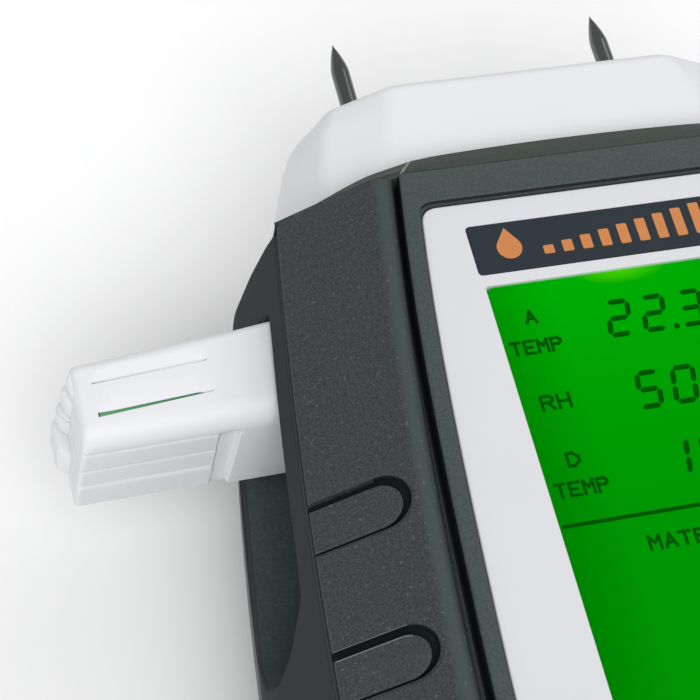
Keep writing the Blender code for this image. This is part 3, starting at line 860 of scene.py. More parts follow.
def cap_lip():
    """The sloping strip along the case's top end, above the cap."""
    rings = []
    halves = [BROW_END * i / 44 for i in range(45)]
    corner = groove_x(BROW_Y) - 0.4
    xs = sorted(set(halves + [corner - 0.13, corner, corner + 0.13]))
    for x in [-x for x in reversed(xs[1:])] + xs:
        reach, fall = brow_shape(abs(x))
        top = case_surface_z(abs(x), BROW_Y)
        under = BROW_UNDER_Z - 0.52 * max(0.0, abs(x) - 15.0)
        front_z = top - fall
        back = BROW_Y if abs(x) < corner else BROW_Y + BROW_BACK
        section = [
            (back - BROW_BACK, top - 2.2),
            (back - BROW_BACK, top - 0.3),
            (back, top + 0.005),
            (BROW_Y + 0.5 * reach, top - 0.5 * fall + 0.06),
            (BROW_Y + reach, front_z),
            (BROW_Y + reach, min(under, front_z - 0.3)),
            (back - BROW_BACK, min(under, front_z - 0.3) + 0.2),
        ]
        radii = [0, 0, 0.3, 5, 0.22, 0.2, 0]
        lean = BROW_LEAN * math.exp(-(((abs(x) - corner) / 2.2) ** 2)) * math.copysign(1.0, x)
        rings.append([(x - lean * max(0.0, y - BROW_Y), y, z) for y, z in rounded(section, radii, 3)])
    strip = make_object("cap_lip", loft(rings))
    # Zones: painted highlight on the crease, painted shadow behind the strip.
    zones = (("crease_painted_highlight", on_crease), ("groove_shadow", behind_strip))
    finished(strip, CASE, "dark_shell", material="lip_plastic", zones=zones)


def behind_strip(point):
    return point.y < BROW_Y - 0.05


def on_crease(point):
    """The narrow edge where the strip bends down over the grips, which gets a painted highlight."""
    crease = groove_x(BROW_Y) - 0.4 - BROW_LEAN * (point.y - BROW_Y)
    return abs(abs(point.x) - crease) < 0.12 and point.y > BROW_Y + 0.1


def case_rear():
    """The rear shell, with its screw wells, battery bay, door track and electrode groove."""
    rings = end_rings(rear_half)
    rings += [mirrored(rear_half(y), y) for y in stations(ROUNDING_START, REAR_ROUNDING_START, 34)]
    for k in (1, 2, 3, 4):
        angle = math.pi / 2 * k / 4
        y = REAR_ROUNDING_START + (CASE_TOP - REAR_ROUNDING_START) * math.sin(angle)
        shrink = 1 - math.cos(angle)
        rings.append(mirrored(rear_half(y, 1 - 0.03 * shrink, 1 - 0.12 * shrink), y))
    shell = make_object("case_rear", loft(rings))
    cavity = hollow(inner_half_rear)
    for x, y in SCREWS:
        cut(cavity, prism(circle(x, y, REAR_POST_RADIUS), -1.0, SEAM_LOW + 3.0))
    cut_by(shell, cavity)
    for x, y in SCREWS:
        cut(shell, screw_well(x, y))
    cut(shell, door_track())
    cut(shell, box((-BAY_HALF, BAY_LOW_Y, 1.0), (BAY_HALF, BAY_HIGH_Y, 8.0)))
    outer = rounded_rectangle(0.0, ELECTRODE_Y, ELECTRODE_HALF_X, ELECTRODE_HALF_Y, 3.0)
    inner = rounded_rectangle(0.0, ELECTRODE_Y, ELECTRODE_HALF_X - 0.6, ELECTRODE_HALF_Y - 0.6, 2.4)
    groove = make_object("groove", prism(outer, -0.5, 0.22))
    cut(groove, prism(inner, -2.0, 1.0))
    cut_by(shell, groove)
    finished(shell, CASE, "dark_shell", ["rear_shell"])


def screw_well(x, y):
    """A screw's countersunk hole, from the back up."""
    head = [(-1.0, 3.25), (-0.02, 3.25), (0.12, 3.02), (0.35, 2.9), (3.4, 2.9)]
    shaft = [(3.41, SCREW_HOLE_RADIUS), (SEAM_LOW + 1, SCREW_HOLE_RADIUS)]
    return loft([[(px, py, z) for px, py in circle(x, y, r, 40)] for z, r in head + shaft])


def door_track():
    """A channel open at the lower end, with a groove on each side for the door's tongues."""
    half = DOOR_HALF + GAP
    wide = half + DOOR_TONGUE
    top = DOOR_THICK + GAP
    right = [(half, -1.0), (half, DOOR_LIP), (wide, DOOR_LIP), (wide, top)]
    section = [(-half, -1.0)] + right + [(-wide, top), (-wide, DOOR_LIP), (-half, DOOR_LIP)]
    return loft([[(x, y, z) for x, z in section] for y in (-90.0, DOOR_HIGH.y + GAP)])


# ---- grips ----


def grip_surface_z(x, y):
    return GRIP_SHOULDER_Z - GRIP_SLOPE * (x - groove_x(y) - GRIP_SHOULDER)


def pad_outline(y, grow):
    """The half-pill groove on the right side, as (x, y): wide above and round the end, thin below."""
    end = groove_x(y) + PAD_REACH
    outer_radius = PAD_RADIUS + grow
    inner_radius = PAD_INNER_RADIUS - grow
    inner_y = y - PAD_INNER_SHIFT
    outer_x = end + PAD_RADIUS
    inner_x = end + PAD_END_WIDTH + PAD_INNER_RADIUS
    outline = [(OUTSIDE, y + outer_radius)]
    outline += circle(outer_x, y, outer_radius, 20, math.pi / 2, math.pi)
    outline += [(OUTSIDE, y - outer_radius), (OUTSIDE, inner_y - inner_radius)]
    outline += circle(inner_x, inner_y, inner_radius, 20, 3 * math.pi / 2, -math.pi)
    outline += [(OUTSIDE, inner_y + inner_radius)]
    return outline


def pad_cutter(sign, y):
    """Cuts a pad's groove, with a narrow bevel along the groove's edge and the pad's."""
    rings = []
    for lift, grow in ((-PAD_DEPTH, 0.0), (-0.14, 0.0), (-0.09, 0.03), (0.01, 0.25), (3.0, 0.27)):
        outline = pad_outline(y, grow)
        rings.append([(sign * x, py, grip_surface_z(x, y) + lift) for x, py in outline])
    return loft(rings)


def grip(name, sign, replaced):
    rings = []
    for y in stations(GRIP_LOW.y, 62.9, 62):
        groove = groove_x(y)
        edge = edge_x(y)
        points = [
            (groove + 0.12, CHANNEL_INNER_Z + 0.3),
            (groove + 0.12, GRIP_TOP_Z),
            (groove + GRIP_SHOULDER, GRIP_SHOULDER_Z),
            (edge, GRIP_EDGE_Z),
            (edge - 0.02, GRIP_UNDER_Z + 0.05),
        ]
        section = rounded(points, [0.1, 0.85, 1.2, 0.45, 0.1], 6)
        rings.append([(sign * x, y, z) for x, z in section])
    panel = make_object(name, loft(rings))
    for i in range(PADS):
        cut(panel, pad_cutter(sign, PAD_FIRST_Y - PAD_PITCH * i))
    # Zones: painted shadow in the grooves, painted highlight on the edge bevels.
    zones = (("groove_shadow", in_pad_groove), ("pad_edge_painted_highlight", on_pad_edge))
    finished(panel, CASE, "grip_rubber", [replaced], sharp=38, zones=zones)


def grip_depth(point):
    return grip_surface_z(abs(point.x), point.y) - point.z


def in_pad_groove(point):
    """Inside a pad's groove, or low in the deep groove beside the frame."""
    distance = abs(point.x) - groove_x(point.y)
    if distance < GRIP_SHOULDER:
        return point.z < GRIP_TOP_Z - 0.4 and distance < 0.6
    return grip_depth(point) > 0.3


def on_pad_edge(point):
    """The thin bevels along the upper edge of each groove and of each pad, which get a painted highlight."""
    start = groove_x(point.y) + PAD_REACH + PAD_RADIUS - 0.3
    if not 0.02 < grip_depth(point) < 0.16 or abs(point.x) < start:
        return False
    for i in range(PADS):
        y = PAD_FIRST_Y - PAD_PITCH * i
        if abs(point.y - y - PAD_RADIUS) < 0.27:
            return True
        if abs(point.y - y + PAD_INNER_SHIFT - PAD_INNER_RADIUS) < 0.27:
            return True
    return False


# ---- window, label and display ----


def plate():
    outline = plate_outline(PLATE_LEDGE + 0.08)
    sheet = make_object("window_frame", eased_plate(outline, PLATE_UNDER, PLATE_HIGH.z, 0.15))
    middle, half = middle_and_half(LENS_LOW, LENS_HIGH)
    opening = rounded_rectangle(middle.x, middle.y, half.x + 0.12, half.y + 0.12, 0.25, 3)
    cut(sheet, rimmed_hole(opening, 30.0, PLATE_HIGH.z, 0.1))
    middle, half = middle_and_half(BAND_LOW, BAND_HIGH)
    pocket = rounded_rectangle(middle.x, middle.y, half.x + 0.05, half.y + 0.05, 0.4)
    cut(sheet, prism(pocket, BAND_POCKET_FLOOR, OUTSIDE))
    for name in KEYS:
        middle, half = middle_and_half(*key_box(name))
        outline = rounded_rectangle(middle.x, middle.y, half.x + GAP, half.y + GAP, 2.0, 8)
        cut(sheet, rimmed_hole(outline, 30.0, PLATE_HIGH.z, 0.3))
    finished(sheet, CASE, "white_plastic", ["window_plate"], material="plate_white")


def key_box(name):
    """The visible part of a key, without the flange under the plate."""
    low, high = box_mm(f"button_{name}")
    flange = Vector((KEY_FLANGE, KEY_FLANGE, 0.0))
    return low + flange, high - flange


def label():
    middle, half = middle_and_half(BAND_LOW, BAND_HIGH)
    outline = rounded_rectangle(middle.x, middle.y, half.x, half.y, 0.3)
    band = make_object("label_strip", eased_plate(outline, BAND_UNDER, BAND_HIGH.z, 0.05))
    finished(band, CASE, "label", ["label_band"])
    bottom = BAND_LOW.y + 1.05
    marks = [droplet(-7.6, bottom, 2.75)]
    for i in range(9):
        x = -5.0 + 1.55 * i
        height = 0.75 + 0.25 * i
        marks.append(rounded_rectangle(x + 0.4, bottom + height / 2, 0.42, height / 2, 0.12, 3))
    low = BAND_HIGH.z - 0.05
    solids = [prism(mark, low, BAND_HIGH.z + 0.025) for mark in marks]
    finished(make_object("label_marks", joined(*solids)), CASE, "label", material="orange_ink")


def droplet(x, bottom, height):
    """A water drop standing on its round end."""
    radius = height * 0.36
    centre = bottom + radius
    lean = math.acos(radius / (height - radius))
    arc = circle(x, centre, radius, 24, math.pi / 2 + lean, 2 * math.pi - 2 * lean - 1e-6)
    return arc + [(x, bottom + height)]


SEGMENTS = {
    "0": "abcdef", "1": "bc", "2": "abged", "3": "abgcd", "4": "fgbc",
    "5": "afgcd", "6": "afgedc", "7": "abc", "8": "abcdefg", "9": "abcdfg",
}
SLANT = math.tan(math.radians(9))


def segment(x0, y0, x1, y1, thick):
    """A bar with pointed ends between two points."""
    start = Vector((x0, y0))
    end = Vector((x1, y1))
    along = (end - start).normalized()
    side = Vector((-along.y, along.x)) * thick / 2
    inset = along * thick * 0.62
    first = [start + along * 0.06, start + inset + side, end - inset + side]
    second = [end - along * 0.06, end - inset - side, start + inset - side]
    return [tuple(point) for point in first + second]


def digit(character, x, y, width, height, thick):
    """Outlines of a slanted seven-segment digit whose lower left corner is x, y."""
    low = y + thick / 2
    high = y + height - thick / 2
    left = x + thick / 2
    right = x + width - thick / 2
    middle = (low + high) / 2
    bars = {
        "a": (left, high, right, high),
        "b": (right, middle, right, high),
        "c": (right, low, right, middle),
        "d": (left, low, right, low),
        "e": (left, low, left, middle),
        "f": (left, middle, left, high),
        "g": (left, middle, right, middle),
    }
    outlines = []
    for name in SEGMENTS[character]:
        outline = segment(*bars[name], thick)
        outlines.append([(px + SLANT * (py - y), py) for px, py in outline])
    return outlines


def ink(outlines, name):
    surface = LENS_HIGH.z
    solids = [prism(outline, surface - 0.02, surface + 0.025) for outline in outlines]
    finished(make_object(name, joined(*solids)), CASE, "display_lens", material="display_ink")


def display_digits():
    small = (2.0, 3.2, 0.42)
    large = (6.6, 10.6, 1.25)
    outlines = []
    for x, y, text, size in (
        (-2.15, 46.35, "22", small), (3.65, 46.35, "3", small), (-1.7, 40.1, "50", small),
        (-1.3, 34.3, "16", small), (3.75, 34.3, "4", small), (-7.9, 11.7, "12", large),
    ):
        for i, character in enumerate(text):
            outlines += digit(character, x + i * 1.4 * size[0], y, *size)
    for x, y in ((3.32, 46.35), (3.32, 34.3)):
        outlines.append(circle(x, y + 0.22, 0.24, 12))
    outlines.append(rectangle(LENS_LOW.x + 0.1, LENS_HIGH.x - 0.1, 31.85, 32.15))
    ink(outlines, "display_digits")


LETTERS = {
    "A": ["00 26 40", "12 32"],
    "D": ["00 06 26 44 42 20 00"],
    "E": ["46 06 00 40", "03 33"],
    "H": ["00 06", "40 46", "03 43"],
    "I": ["00 06"],
    "L": ["06 00 40"],
    "M": ["00 06 23 46 40"],
    "P": ["00 06 36 45 44 33 03"],
    "R": ["00 06 36 45 44 33 03", "23 40"],
    "T": ["06 46", "26 20"],
}


def stroke(start, end, thick):
    """A straight pen stroke with square ends."""
    along = (end - start).normalized() * thick / 2
    side = Vector((-along.y, along.x))
    corners = [start - along - side, end + along - side, end + along + side, start - along + side]
    return [tuple(corner) for corner in corners]


def word_strokes(text, low_x, high_x, low_y, high_y, thick=0.24):
    """Strokes of a word that fills a box; a letter is drawn on a grid of 4 by 6."""
    widths = [0.9 if letter == "I" else 4.0 for letter in text]
    total = sum(widths) + 1.9 * (len(text) - 1)
    cell_x = (high_x - low_x - thick) / total
    cell_y = (high_y - low_y - thick) / 6
    x = low_x + thick / 2
    strokes = []
    for letter, width in zip(text, widths):
        for path in LETTERS[letter]:
            grid = [(int(column), int(row)) for column, row in path.split()]
            places = [Vector((x + c * cell_x, low_y + thick / 2 + r * cell_y)) for c, r in grid]
            strokes += [stroke(a, b, thick) for a, b in zip(places, places[1:])]
        x += (width + 1.9) * cell_x
    return strokes


def percent_strokes(x, y, width, height):
    size = width * 0.26
    bar = stroke(Vector((x + 0.1, y + 0.1)), Vector((x + width - 0.1, y + height - 0.1)), 0.2)
    upper = circle(x + size, y + height - size, size, 12)
    lower = circle(x + width - size, y + size, size, 12)
    return [bar, upper, lower]


def display_words():
    """Generic names of the readings, and two per cent signs."""
    places = [
        ("A", -8.1, -7.1, 48.5, 49.7),
        ("TEMP", -9.9, -5.8, 45.95, 47.2),
        ("RH", -8.9, -6.5, 41.2, 42.5),
        ("D", -8.3, -7.2, 36.45, 37.7),
        ("TEMP", -9.85, -5.7, 34.15, 35.4),
        ("MATERIAL", -4.3, 4.3, 29.1, 30.3),
    ]
    words = [word_strokes(*place) for place in places]
    words += [percent_strokes(6.4, 40.5, 1.6, 1.8), percent_strokes(7.7, 20.2, 1.6, 1.9)]
    for number, strokes in enumerate(words):
        low = LENS_HIGH.z - 0.02
        solids = [prism(outline, low, low + 0.045) for outline in strokes]
        word = make_object(f"display_word_{number}", solids[0])
        for solid in solids[1:]:
            add_solid(word, solid)
        finished(word, CASE, "display_lens", material="display_ink")


# ---- keys ----


def key(name):
    """A key with a flange under the plate, an eased edge, a slightly domed top and a printed mark."""
    high = key_box(name)[1]
    middle, half = middle_and_half(*key_box(name))
    rings = []
    corner = KEY_CORNER + 0.5
    flange = rounded_rectangle(middle.x, middle.y, half.x + KEY_FLANGE, half.y + KEY_FLANGE, corner, 8)
    for z in (KEY_FLANGE_LOW, KEY_FLANGE_HIGH):
        rings.append([(x, y, z) for x, y in flange])
    body = rounded_rectangle(middle.x, middle.y, half.x, half.y, KEY_CORNER, 8)
    rings.append([(x, y, KEY_FLANGE_HIGH + 0.0001) for x, y in body])
    for i in range(6):
        a = math.pi / 2 * i / 5
        z = high.z - 0.2 - KEY_EDGE * (1 - math.sin(a))
        rings.append([(x, y, z) for x, y in grown(body, -KEY_EDGE * (1 - math.cos(a)))])
    for share, drop in ((0.75, 0.11), (0.5, 0.05), (0.22, 0.01)):
        top = [(middle.x + (x - middle.x) * share, middle.y + (y - middle.y) * share) for x, y in body]
        rings.append([(x, y, high.z - drop) for x, y in top])
    obj = make_object(f"key_{name}", loft(rings))
    finished(obj, f"button_{name}", "key_rubber", [f"button_{name}"], sharp=50)
    marks = key_marks(name, middle.x, middle.y)
    solids = [prism(mark, high.z - 0.3, high.z - 0.005) for mark in marks]
    symbol = make_object(f"key_symbol_{name}", joined(*solids))
    finished(symbol, f"button_{name}", "key_rubber", material="pale_ink")


def ring_arc(x, y, radius, thick, start, turn):
    outer = circle(x, y, radius, 28, start, turn)
    inner = circle(x, y, radius - thick, 28, start + turn, -turn)
    return outer + inner


def key_marks(name, x, y):
    """Generic symbols: two arrows, a pause sign, three lines and a power sign."""
    if name == "mode":
        return [
            [(x - 1.6, y), (x - 0.4, y + 0.9), (x - 0.4, y - 0.9)],
            [(x + 1.6, y), (x + 0.4, y - 0.9), (x + 0.4, y + 0.9)],
        ]
    if name == "hold":
        return [rectangle(x + d - 0.275, x + d + 0.275, y - 0.9, y + 0.9) for d in (-0.525, 0.525)]
    if name == "menu":
        return [rectangle(x - 1.1, x + 1.1, y + d - 0.13, y + d + 0.13) for d in (-0.65, 0.0, 0.65)]
    gap = 0.65
    return [
        ring_arc(x, y, 1.1, 0.26, math.pi / 2 + gap, 2 * math.pi - 2 * gap),
        rectangle(x - 0.13, x + 0.13, y + 0.15, y + 1.3),
    ]


# ---- cap and pins ----


CAP_YS = [63.5, 68.0, 71.5, 73.6, 75.4, 77.0]
CAP_SIZES = {
    "front_x": [15.3, 13.6, 12.4, 11.8, 11.3, 10.6],
    "front_z": [32.3, 32.3, 32.3, 32.3, 28.6, 24.2],
    "soft_x": [19.3, 18.7, 17.8, 16.8, 15.6, 14.6],
    "soft_z": [30.2, 30.2, 30.2, 29.6, 27.0, 23.8],
    "side_x": [22.4, 21.6, 20.4, 19.3, 17.9, 16.3],
    "side_z": [24.0, 24.0, 24.0, 23.8, 23.2, 22.2],
}


def along(values, y):
    """A size at a place along the cap, by straight lines between its sections."""
    if y <= CAP_YS[0]:
        return values[0]
    for (y0, v0), (y1, v1) in zip(zip(CAP_YS, values), zip(CAP_YS[1:], values[1:])):
        if y <= y1:
            return v0 + (v1 - v0) * (y - y0) / (y1 - y0)
    return values[-1]


def softened(values, y, window=0.45):
    """The same with its corners rounded off, by averaging over a short stretch."""
    offsets = stations(-window, window, 9)
    return sum(along(values, y + d) for d in offsets) / len(offsets)


def cap_half(y, inset=0.0):
    """Right half of the cap's section, the same above and below the pins' height."""
    size = {name: softened(values, y) for name, values in CAP_SIZES.items()}
    upper = [
        (size["side_x"] - inset, size["side_z"]),
        (size["soft_x"] - inset * 0.8, size["soft_z"] - inset),
        (size["front_x"] - inset * 0.6, size["front_z"] - inset),
        (0.0, size["front_z"] - inset),
    ]
    lower = [(x, 2 * PIN_Z - z) for x, z in reversed(upper)]
    return rounded(lower + upper, [0, 4.0, 2.2, 0.7, 0.7, 2.2, 4.0, 0], 5, closed=False)


def cap():
    ys = stations(CAP_YS[0], CAP_YS[-1] - 0.3, 46)
    rings = [mirrored(cap_half(y), y) for y in ys]
    end = [(x * 0.985, PIN_Z + (z - PIN_Z) * 0.97) for x, z in cap_half(CAP_YS[-1])]
    rings.append(mirrored(end, CAP_YS[-1]))
    cover = make_object("pin_cap", loft(rings))
    inner = [mirrored(cap_half(y, CAP_WALL), y) for y in stations(CAP_YS[0] - 1.0, 73.0, 8)]
    cut(cover, loft(inner))
    hole = PIN_RADIUS + 0.25
    profile = [(70.0, hole), (CAP_YS[-1] - 0.15, hole), (78.0, PIN_RADIUS + 0.6)]
    for sign in (-1, 1):
        cut(cover, turned(sign * PIN_X, PIN_Z, profile))
    finished(cover, CASE, "white_plastic", ["top_cap"])


def pins():
    tip = PIN_HIGH.y
    start = tip - PIN_POINT
    steps = 14
    shares = [i / steps for i in range(steps)]
    profile = [(PIN_LOW.y, PIN_RADIUS - 0.1), (PIN_LOW.y + 0.15, PIN_RADIUS), (start - 0.1, PIN_RADIUS)]
    profile += [(start + PIN_POINT * t, PIN_RADIUS * (1 - t**1.55)) for t in shares]
    profile += [(tip - 0.05, 0.05), (tip, 0.02)]
    for name, sign in (("left", -1), ("right", 1)):
        obj = make_object(f"needle_{name}", turned(sign * PIN_X, PIN_Z, profile, 48))
        finished(obj, CASE, "steel", [f"pin_{name}"], sharp=60, material="pin_steel")


# ---- swing-out sensor ----


def slat_inset(z):
    """How far a long side lies in at a height: each slat tucks its top under the one above."""
    for low, high in SLATS:
        if low <= z < high:
            t = (z - low) / (high - low)
            turn = max(0.0, (t - 0.8) / 0.2)
            return 0.12 + 0.1 * (1 - t) + 0.33 * (1 - math.sqrt(1 - turn * turn))
    return max(0.0, 0.2 - 0.5 * (z - SLATS[-1][1]))


def side_inset(x, z):
    """The flat root, the step down into the pocket, and the slats beyond it."""
    ramp = min(1.0, max(0.0, (POCKET_X - x) / POCKET_STEP))
    if x < POCKET_X - POCKET_FLOOR - 0.2:
        return slat_inset(z)
    fade = min(1.0, max(0.0, (ARM_HIGH - ARM_ROUNDING - z) / 0.8))
    return POCKET_DEPTH * ramp * fade


def slat_levels():
    """Heights for the arm's sections: closer together where a slat turns in."""
    levels = []
    for low, high in SLATS:
        shares = (0.01, 0.3, 0.55, 0.8, 0.86, 0.91, 0.95, 0.98, 0.995)
        levels += [low + (high - low) * t for t in shares]
    levels[0] = ARM_LOW + 0.3
    return levels + [SLATS[-1][1] + 0.01, SLATS[-1][1] + 0.15, SLATS[-1][1] + 0.3]


LEVELS = slat_levels()


def arm_section(x, lift=0.0, inset=0.0):
    """The arm's section at x, as (x, y, z); lift lowers the top and inset narrows it, at the end."""
    if x > HINGE_X:
        reach = math.sqrt(max(0.0, HUB_RADIUS**2 - (x - HINGE_X) ** 2))
        y_low = HINGE_Y - reach
        y_high = HINGE_Y + reach
    else:
        t = (x - HINGE_X) / (ARM_END - HINGE_X)
        y_low = HINGE_Y - HUB_RADIUS - 0.3 * t
        y_high = HINGE_Y + HUB_RADIUS - 1.5 * t
    size = min(1.0, (y_high - y_low) / 8.0)
    far_size = 0.45 + 0.55 * min(1.0, max(0.0, (HINGE_X - x) / 12.0))
    top = ARM_HIGH - lift
    near = [(y_low + side_inset(x, z) * size + inset, z) for z in LEVELS]
    far = [(y_high - side_inset(x, z) * size - inset, z) for z in reversed(LEVELS)]
    angles = [math.radians(a) for a in (0, 15, 30, 45, 60, 75, 90)]
    room = top - LEVELS[-1] - 0.05
    soft = min(ARM_ROUNDING * size, room)
    small = min(1.1 * size * far_size, room)
    near_arc = [(y_low + inset + soft * (1 - math.cos(a)), top - soft * (1 - math.sin(a))) for a in angles]
    far_arc = []
    for a in reversed(angles):
        far_arc.append((y_high - inset - small * (1 - math.cos(a)), top - small * (1 - math.sin(a))))
    foot = 0.22 * size + 0.3 * size + inset
    low = [(y_high - foot, ARM_LOW + inset), (y_low + foot, ARM_LOW + inset)]
    bend = BEND * min(1.0, max(0.0, (BEND_START - x) / 3.0))
    lean = POCKET_LEAN * max(0.0, 1 - abs(x - POCKET_X) / 3.0)
    outline = near + near_arc + far_arc + far + low
    return [(x - bend * (ARM_HIGH - z) + lean * (z - ARM_LOW), y, z) for y, z in outline]


FIN_ROOT = Vector((-39.6, 53.6))


def fin_outline(number):
    """A fin's outline seen from above; the fins sit at the back and reach out further lower down."""
    tip = FIN_TIP - FIN_STEP * number
    near = ARM_END - 0.15 * number
    front = 52.9 if number < 3 else 51.3
    points = [
        (FIN_ROOT.x, front - 0.6),
        (near - 0.1, front),
        (tip + 0.12, front + 0.7),
        (tip, 54.3),
        (tip + 0.35, 54.9),
        (FIN_ROOT.x, 55.05),
    ]
    return rounded(points, [0, 0.8, 0.6, 0.4, 0.3, 0], 5)


def rounded_fin(number, low, high):
    """A fin with eased upper and lower edges."""
    outline = fin_outline(number)
    rings = []
    for z, inset in (
        (low, 0.28), (low + 0.08, 0.1), (low + 0.28, 0.0),
        (high - 0.45, 0.0), (high - 0.2, 0.09), (high - 0.06, 0.25), (high, 0.45),
    ):
        size = 1 - inset / 3.1
        shrunk = [FIN_ROOT + (Vector(point) - FIN_ROOT) * size for point in outline]
        rings.append([(point.x, point.y, z) for point in shrunk])
    return loft(rings)


def whole_arm():
    """Both covers as one hollow piece, with its fins, its slots and the hole for the hinge pin."""
    hub = [HINGE_X + HUB_RADIUS * math.sin(math.radians(a)) for a in (84, 70, 56, 42, 28, 14)]
    straight = stations(HINGE_X, POCKET_X + 0.5, 6) + stations(POCKET_X + 0.05, POCKET_X - POCKET_STEP, 4)
    straight += [POCKET_X - 0.5, POCKET_X - POCKET_FLOOR]
    slatted = stations(POCKET_X - POCKET_FLOOR - 0.22, ARM_END + END_ROUNDING + 0.05, 12)
    rings = [arm_section(x) for x in hub + straight + slatted]
    for degrees in (15, 30, 45, 60, 72, 82, 90):
        a = math.radians(degrees)
        corner = max(0.0, math.sin(a) - 0.55) / 0.45
        inset = 0.4 * (1 - math.sqrt(1 - corner**2))
        x = ARM_END + END_ROUNDING * (1 - math.sin(a))
        rings.append(arm_section(x, END_ROUNDING * (1 - math.cos(a)), inset))
    arm = make_object("arm", loft(rings))
    for number, (low, high) in enumerate(FINS):
        add_solid(arm, rounded_fin(number, low, high))
    cut(arm, box((-39.7, 50.2, ARM_LOW + 1.1), (-29.8, 53.9, ARM_HIGH - 1.1)))
    cut(arm, leaning_bar(50.87, (0.4, 0.4), 20.0, ARM_HIGH - 0.28))
    for y, widths in SLOTS:
        cut(arm, leaning_bar(y, widths, 24.0, 30.0))
        cut(arm, slot_slope(y))
        cut(arm, leaning_bar(y, widths, 10.0, 19.0))
    cut(arm, prism(circle(HINGE_X, HINGE_Y, HINGE_HOLE_RADIUS), 10.0, 30.0))
    return arm


def leaning_bar(y, half_widths, low, high, left=-39.55, right=-30.6):
    """A straight bar along the arm that leans towards the hinge."""
    rise = SLOT_LEAN * (right - left)
    first, second = half_widths
    near = [(left, y - first), (right, y + rise - second)]
    far = [(right, y + rise + second), (left, y + first)]
    return prism(near + far, low, high)


def slot_slope(y):
    """The shallow slope that leads down into a slot from its far side."""
    rings = []
    left = -39.75
    right = -30.3
    ends = ((0.0, 0.15), (0.5, 0.8), (1.5, 1.0))
    places = [(left + d, size) for d, size in ends] + [(right - d, size) for d, size in reversed(ends)]
    for x, size in places:
        near = y + SLOT_LEAN * (x - left)
        triangle = [
            (near, ARM_HIGH + 1.0),
            (near, ARM_HIGH - 0.34 * size),
            (near + 1.15 * size, ARM_HIGH + 0.005),
            (near + 1.15 * size, ARM_HIGH + 1.0),
        ]
        rings.append([(x, py, z) for py, z in triangle])
    return loft(rings)


def split_solid(offset, far_z):
    """Everything above or below the joint line between the covers, which steps down at the root."""
    left = -50.0
    right = -15.0
    knee = POCKET_X - POCKET_FLOOR + 0.1 + 0.1 * offset
    line = [
        (left, ARM_SPLIT + offset),
        (knee, ARM_SPLIT + offset),
        (knee, ROOT_SPLIT + offset),
        (right, ROOT_SPLIT + offset),
    ]
    section = line + [(right, far_z), (left, far_z)]
    return loft([[(x, y, z) for x, z in section] for y in (40.0, 62.0)])


def sensor_covers():
    """The two covers are the whole arm, cut along the joint line from above and from below."""
    front = whole_arm()
    rear = whole_arm()
    front.name = "arm_cover_front"
    rear.name = "arm_cover_rear"
    cut(front, split_solid(0.06, 0.0))
    cut(rear, split_solid(-0.06, 40.0))
    thin_slot = [(-31.0, 47.0), (-31.0, 48.9), (-43.5, 48.9), (-43.5, 47.0)]
    cut(rear, prism(thin_slot, 19.4, 19.5))
    finished(front, ARM, "white_plastic", ["sensor_cover_front"], sharp=38)
    finished(rear, ARM, "white_plastic", ["sensor_cover_rear"], sharp=38)


# ---- carried-over nodes ----


def dress_nodes():
    """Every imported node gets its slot's finish."""
    for entry in frame["record"]["subparts"]:
        node = frame["nodes"][entry["node"]]
        node.data.materials.clear()
        node.data.materials.append(finishes[entry["material_slot"]])


def soften_nodes():
    """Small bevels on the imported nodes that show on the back."""
    for name in ["battery_door"] + [f"case_screw_{i}" for i in range(1, 5)]:
        bevel = frame["nodes"][name].modifiers.new("Bevel", "BEVEL")
        bevel.width = 0.12 * MM
        bevel.segments = 2
        bevel.limit_method = "ANGLE"
        bevel.angle_limit = math.radians(40)
        bevel.harden_normals = True


# ---- floor, light and camera ----


# Places and sizes in metres, powers in watts, the turn in degrees and the lens in millimetres.
FLOOR_HALF = 3.0
FLOOR_Z = -0.0002
AIM = (0.0, 0.03, 0.02)
LAMP_SIZE = 1.6
KEY_LIGHT_PLACE = (-0.25, -1.15, 1.7)
KEY_LIGHT_POWER = 28.0
FILL_LIGHT_PLACE = (1.2, 0.6, 1.6)
FILL_LIGHT_POWER = 8.0
SKY = 0.5
CAMERA_PLACE = (-0.05807, -0.02566, 0.17347)
CAMERA_TURN = (30.061, -7.435, -13.536)
CAMERA_LENS = 113.54


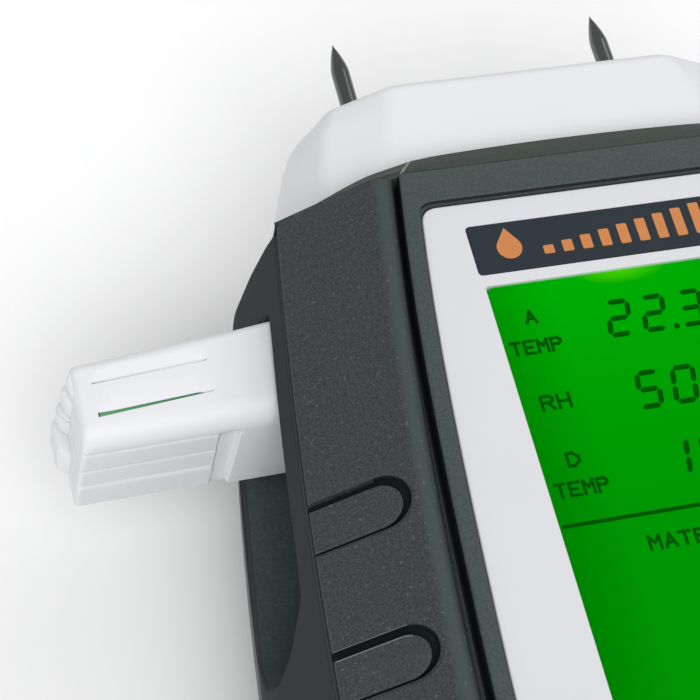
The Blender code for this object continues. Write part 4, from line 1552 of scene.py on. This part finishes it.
def stage():
    floor_mesh = bpy.data.meshes.new("floor")
    corners = [(x, y, FLOOR_Z) for x, y in rectangle(-FLOOR_HALF, FLOOR_HALF, -FLOOR_HALF, FLOOR_HALF)]
    floor_mesh.from_pydata(corners, [], [(0, 1, 2, 3)])
    floor = bpy.data.objects.new("floor", floor_mesh)
    bpy.context.scene.collection.objects.link(floor)
    paper = moulded("floor_paper", (0.95, 0.95, 0.95), 0.9, 3.0, 0.01, mottle=0.004, specular=0.1)
    floor_mesh.materials.append(paper)


def softbox(name, place, power):
    """A large round lamp that points at the meter."""
    light = bpy.data.lights.new(name, "AREA")
    light.shape = "DISK"
    light.size = LAMP_SIZE
    light.energy = power
    obj = bpy.data.objects.new(name, light)
    bpy.context.scene.collection.objects.link(obj)
    obj.location = place
    obj.rotation_euler = (Vector(AIM) - Vector(place)).to_track_quat("-Z", "Y").to_euler()


def lights():
    world = bpy.data.worlds.new("studio")
    bpy.context.scene.world = world
    world.use_nodes = True
    background = world.node_tree.nodes["Background"]
    background.inputs["Color"].default_value = (1.0, 1.0, 1.0, 1.0)
    background.inputs["Strength"].default_value = SKY
    softbox("key", KEY_LIGHT_PLACE, KEY_LIGHT_POWER)
    softbox("fill", FILL_LIGHT_PLACE, FILL_LIGHT_POWER)


def camera():
    data = bpy.data.cameras.new("camera")
    data.lens = CAMERA_LENS
    data.sensor_width = 36.0
    data.clip_start = 0.005
    obj = bpy.data.objects.new("camera", data)
    bpy.context.scene.collection.objects.link(obj)
    obj.location = CAMERA_PLACE
    obj.rotation_euler = [math.radians(a) for a in CAMERA_TURN]
    bpy.context.scene.camera = obj


def build():
    dress_nodes()
    case_front()
    cap_lip()
    case_rear()
    grip("grip_left", -1, "left_grip")
    grip("grip_right", 1, "right_grip")
    plate()
    label()
    display_digits()
    display_words()
    for name in KEYS:
        key(name)
    cap()
    pins()
    sensor_covers()
    soften_nodes()
    stage()
    lights()
    camera()
    bpy.context.scene.view_settings.view_transform = "Standard"


build()
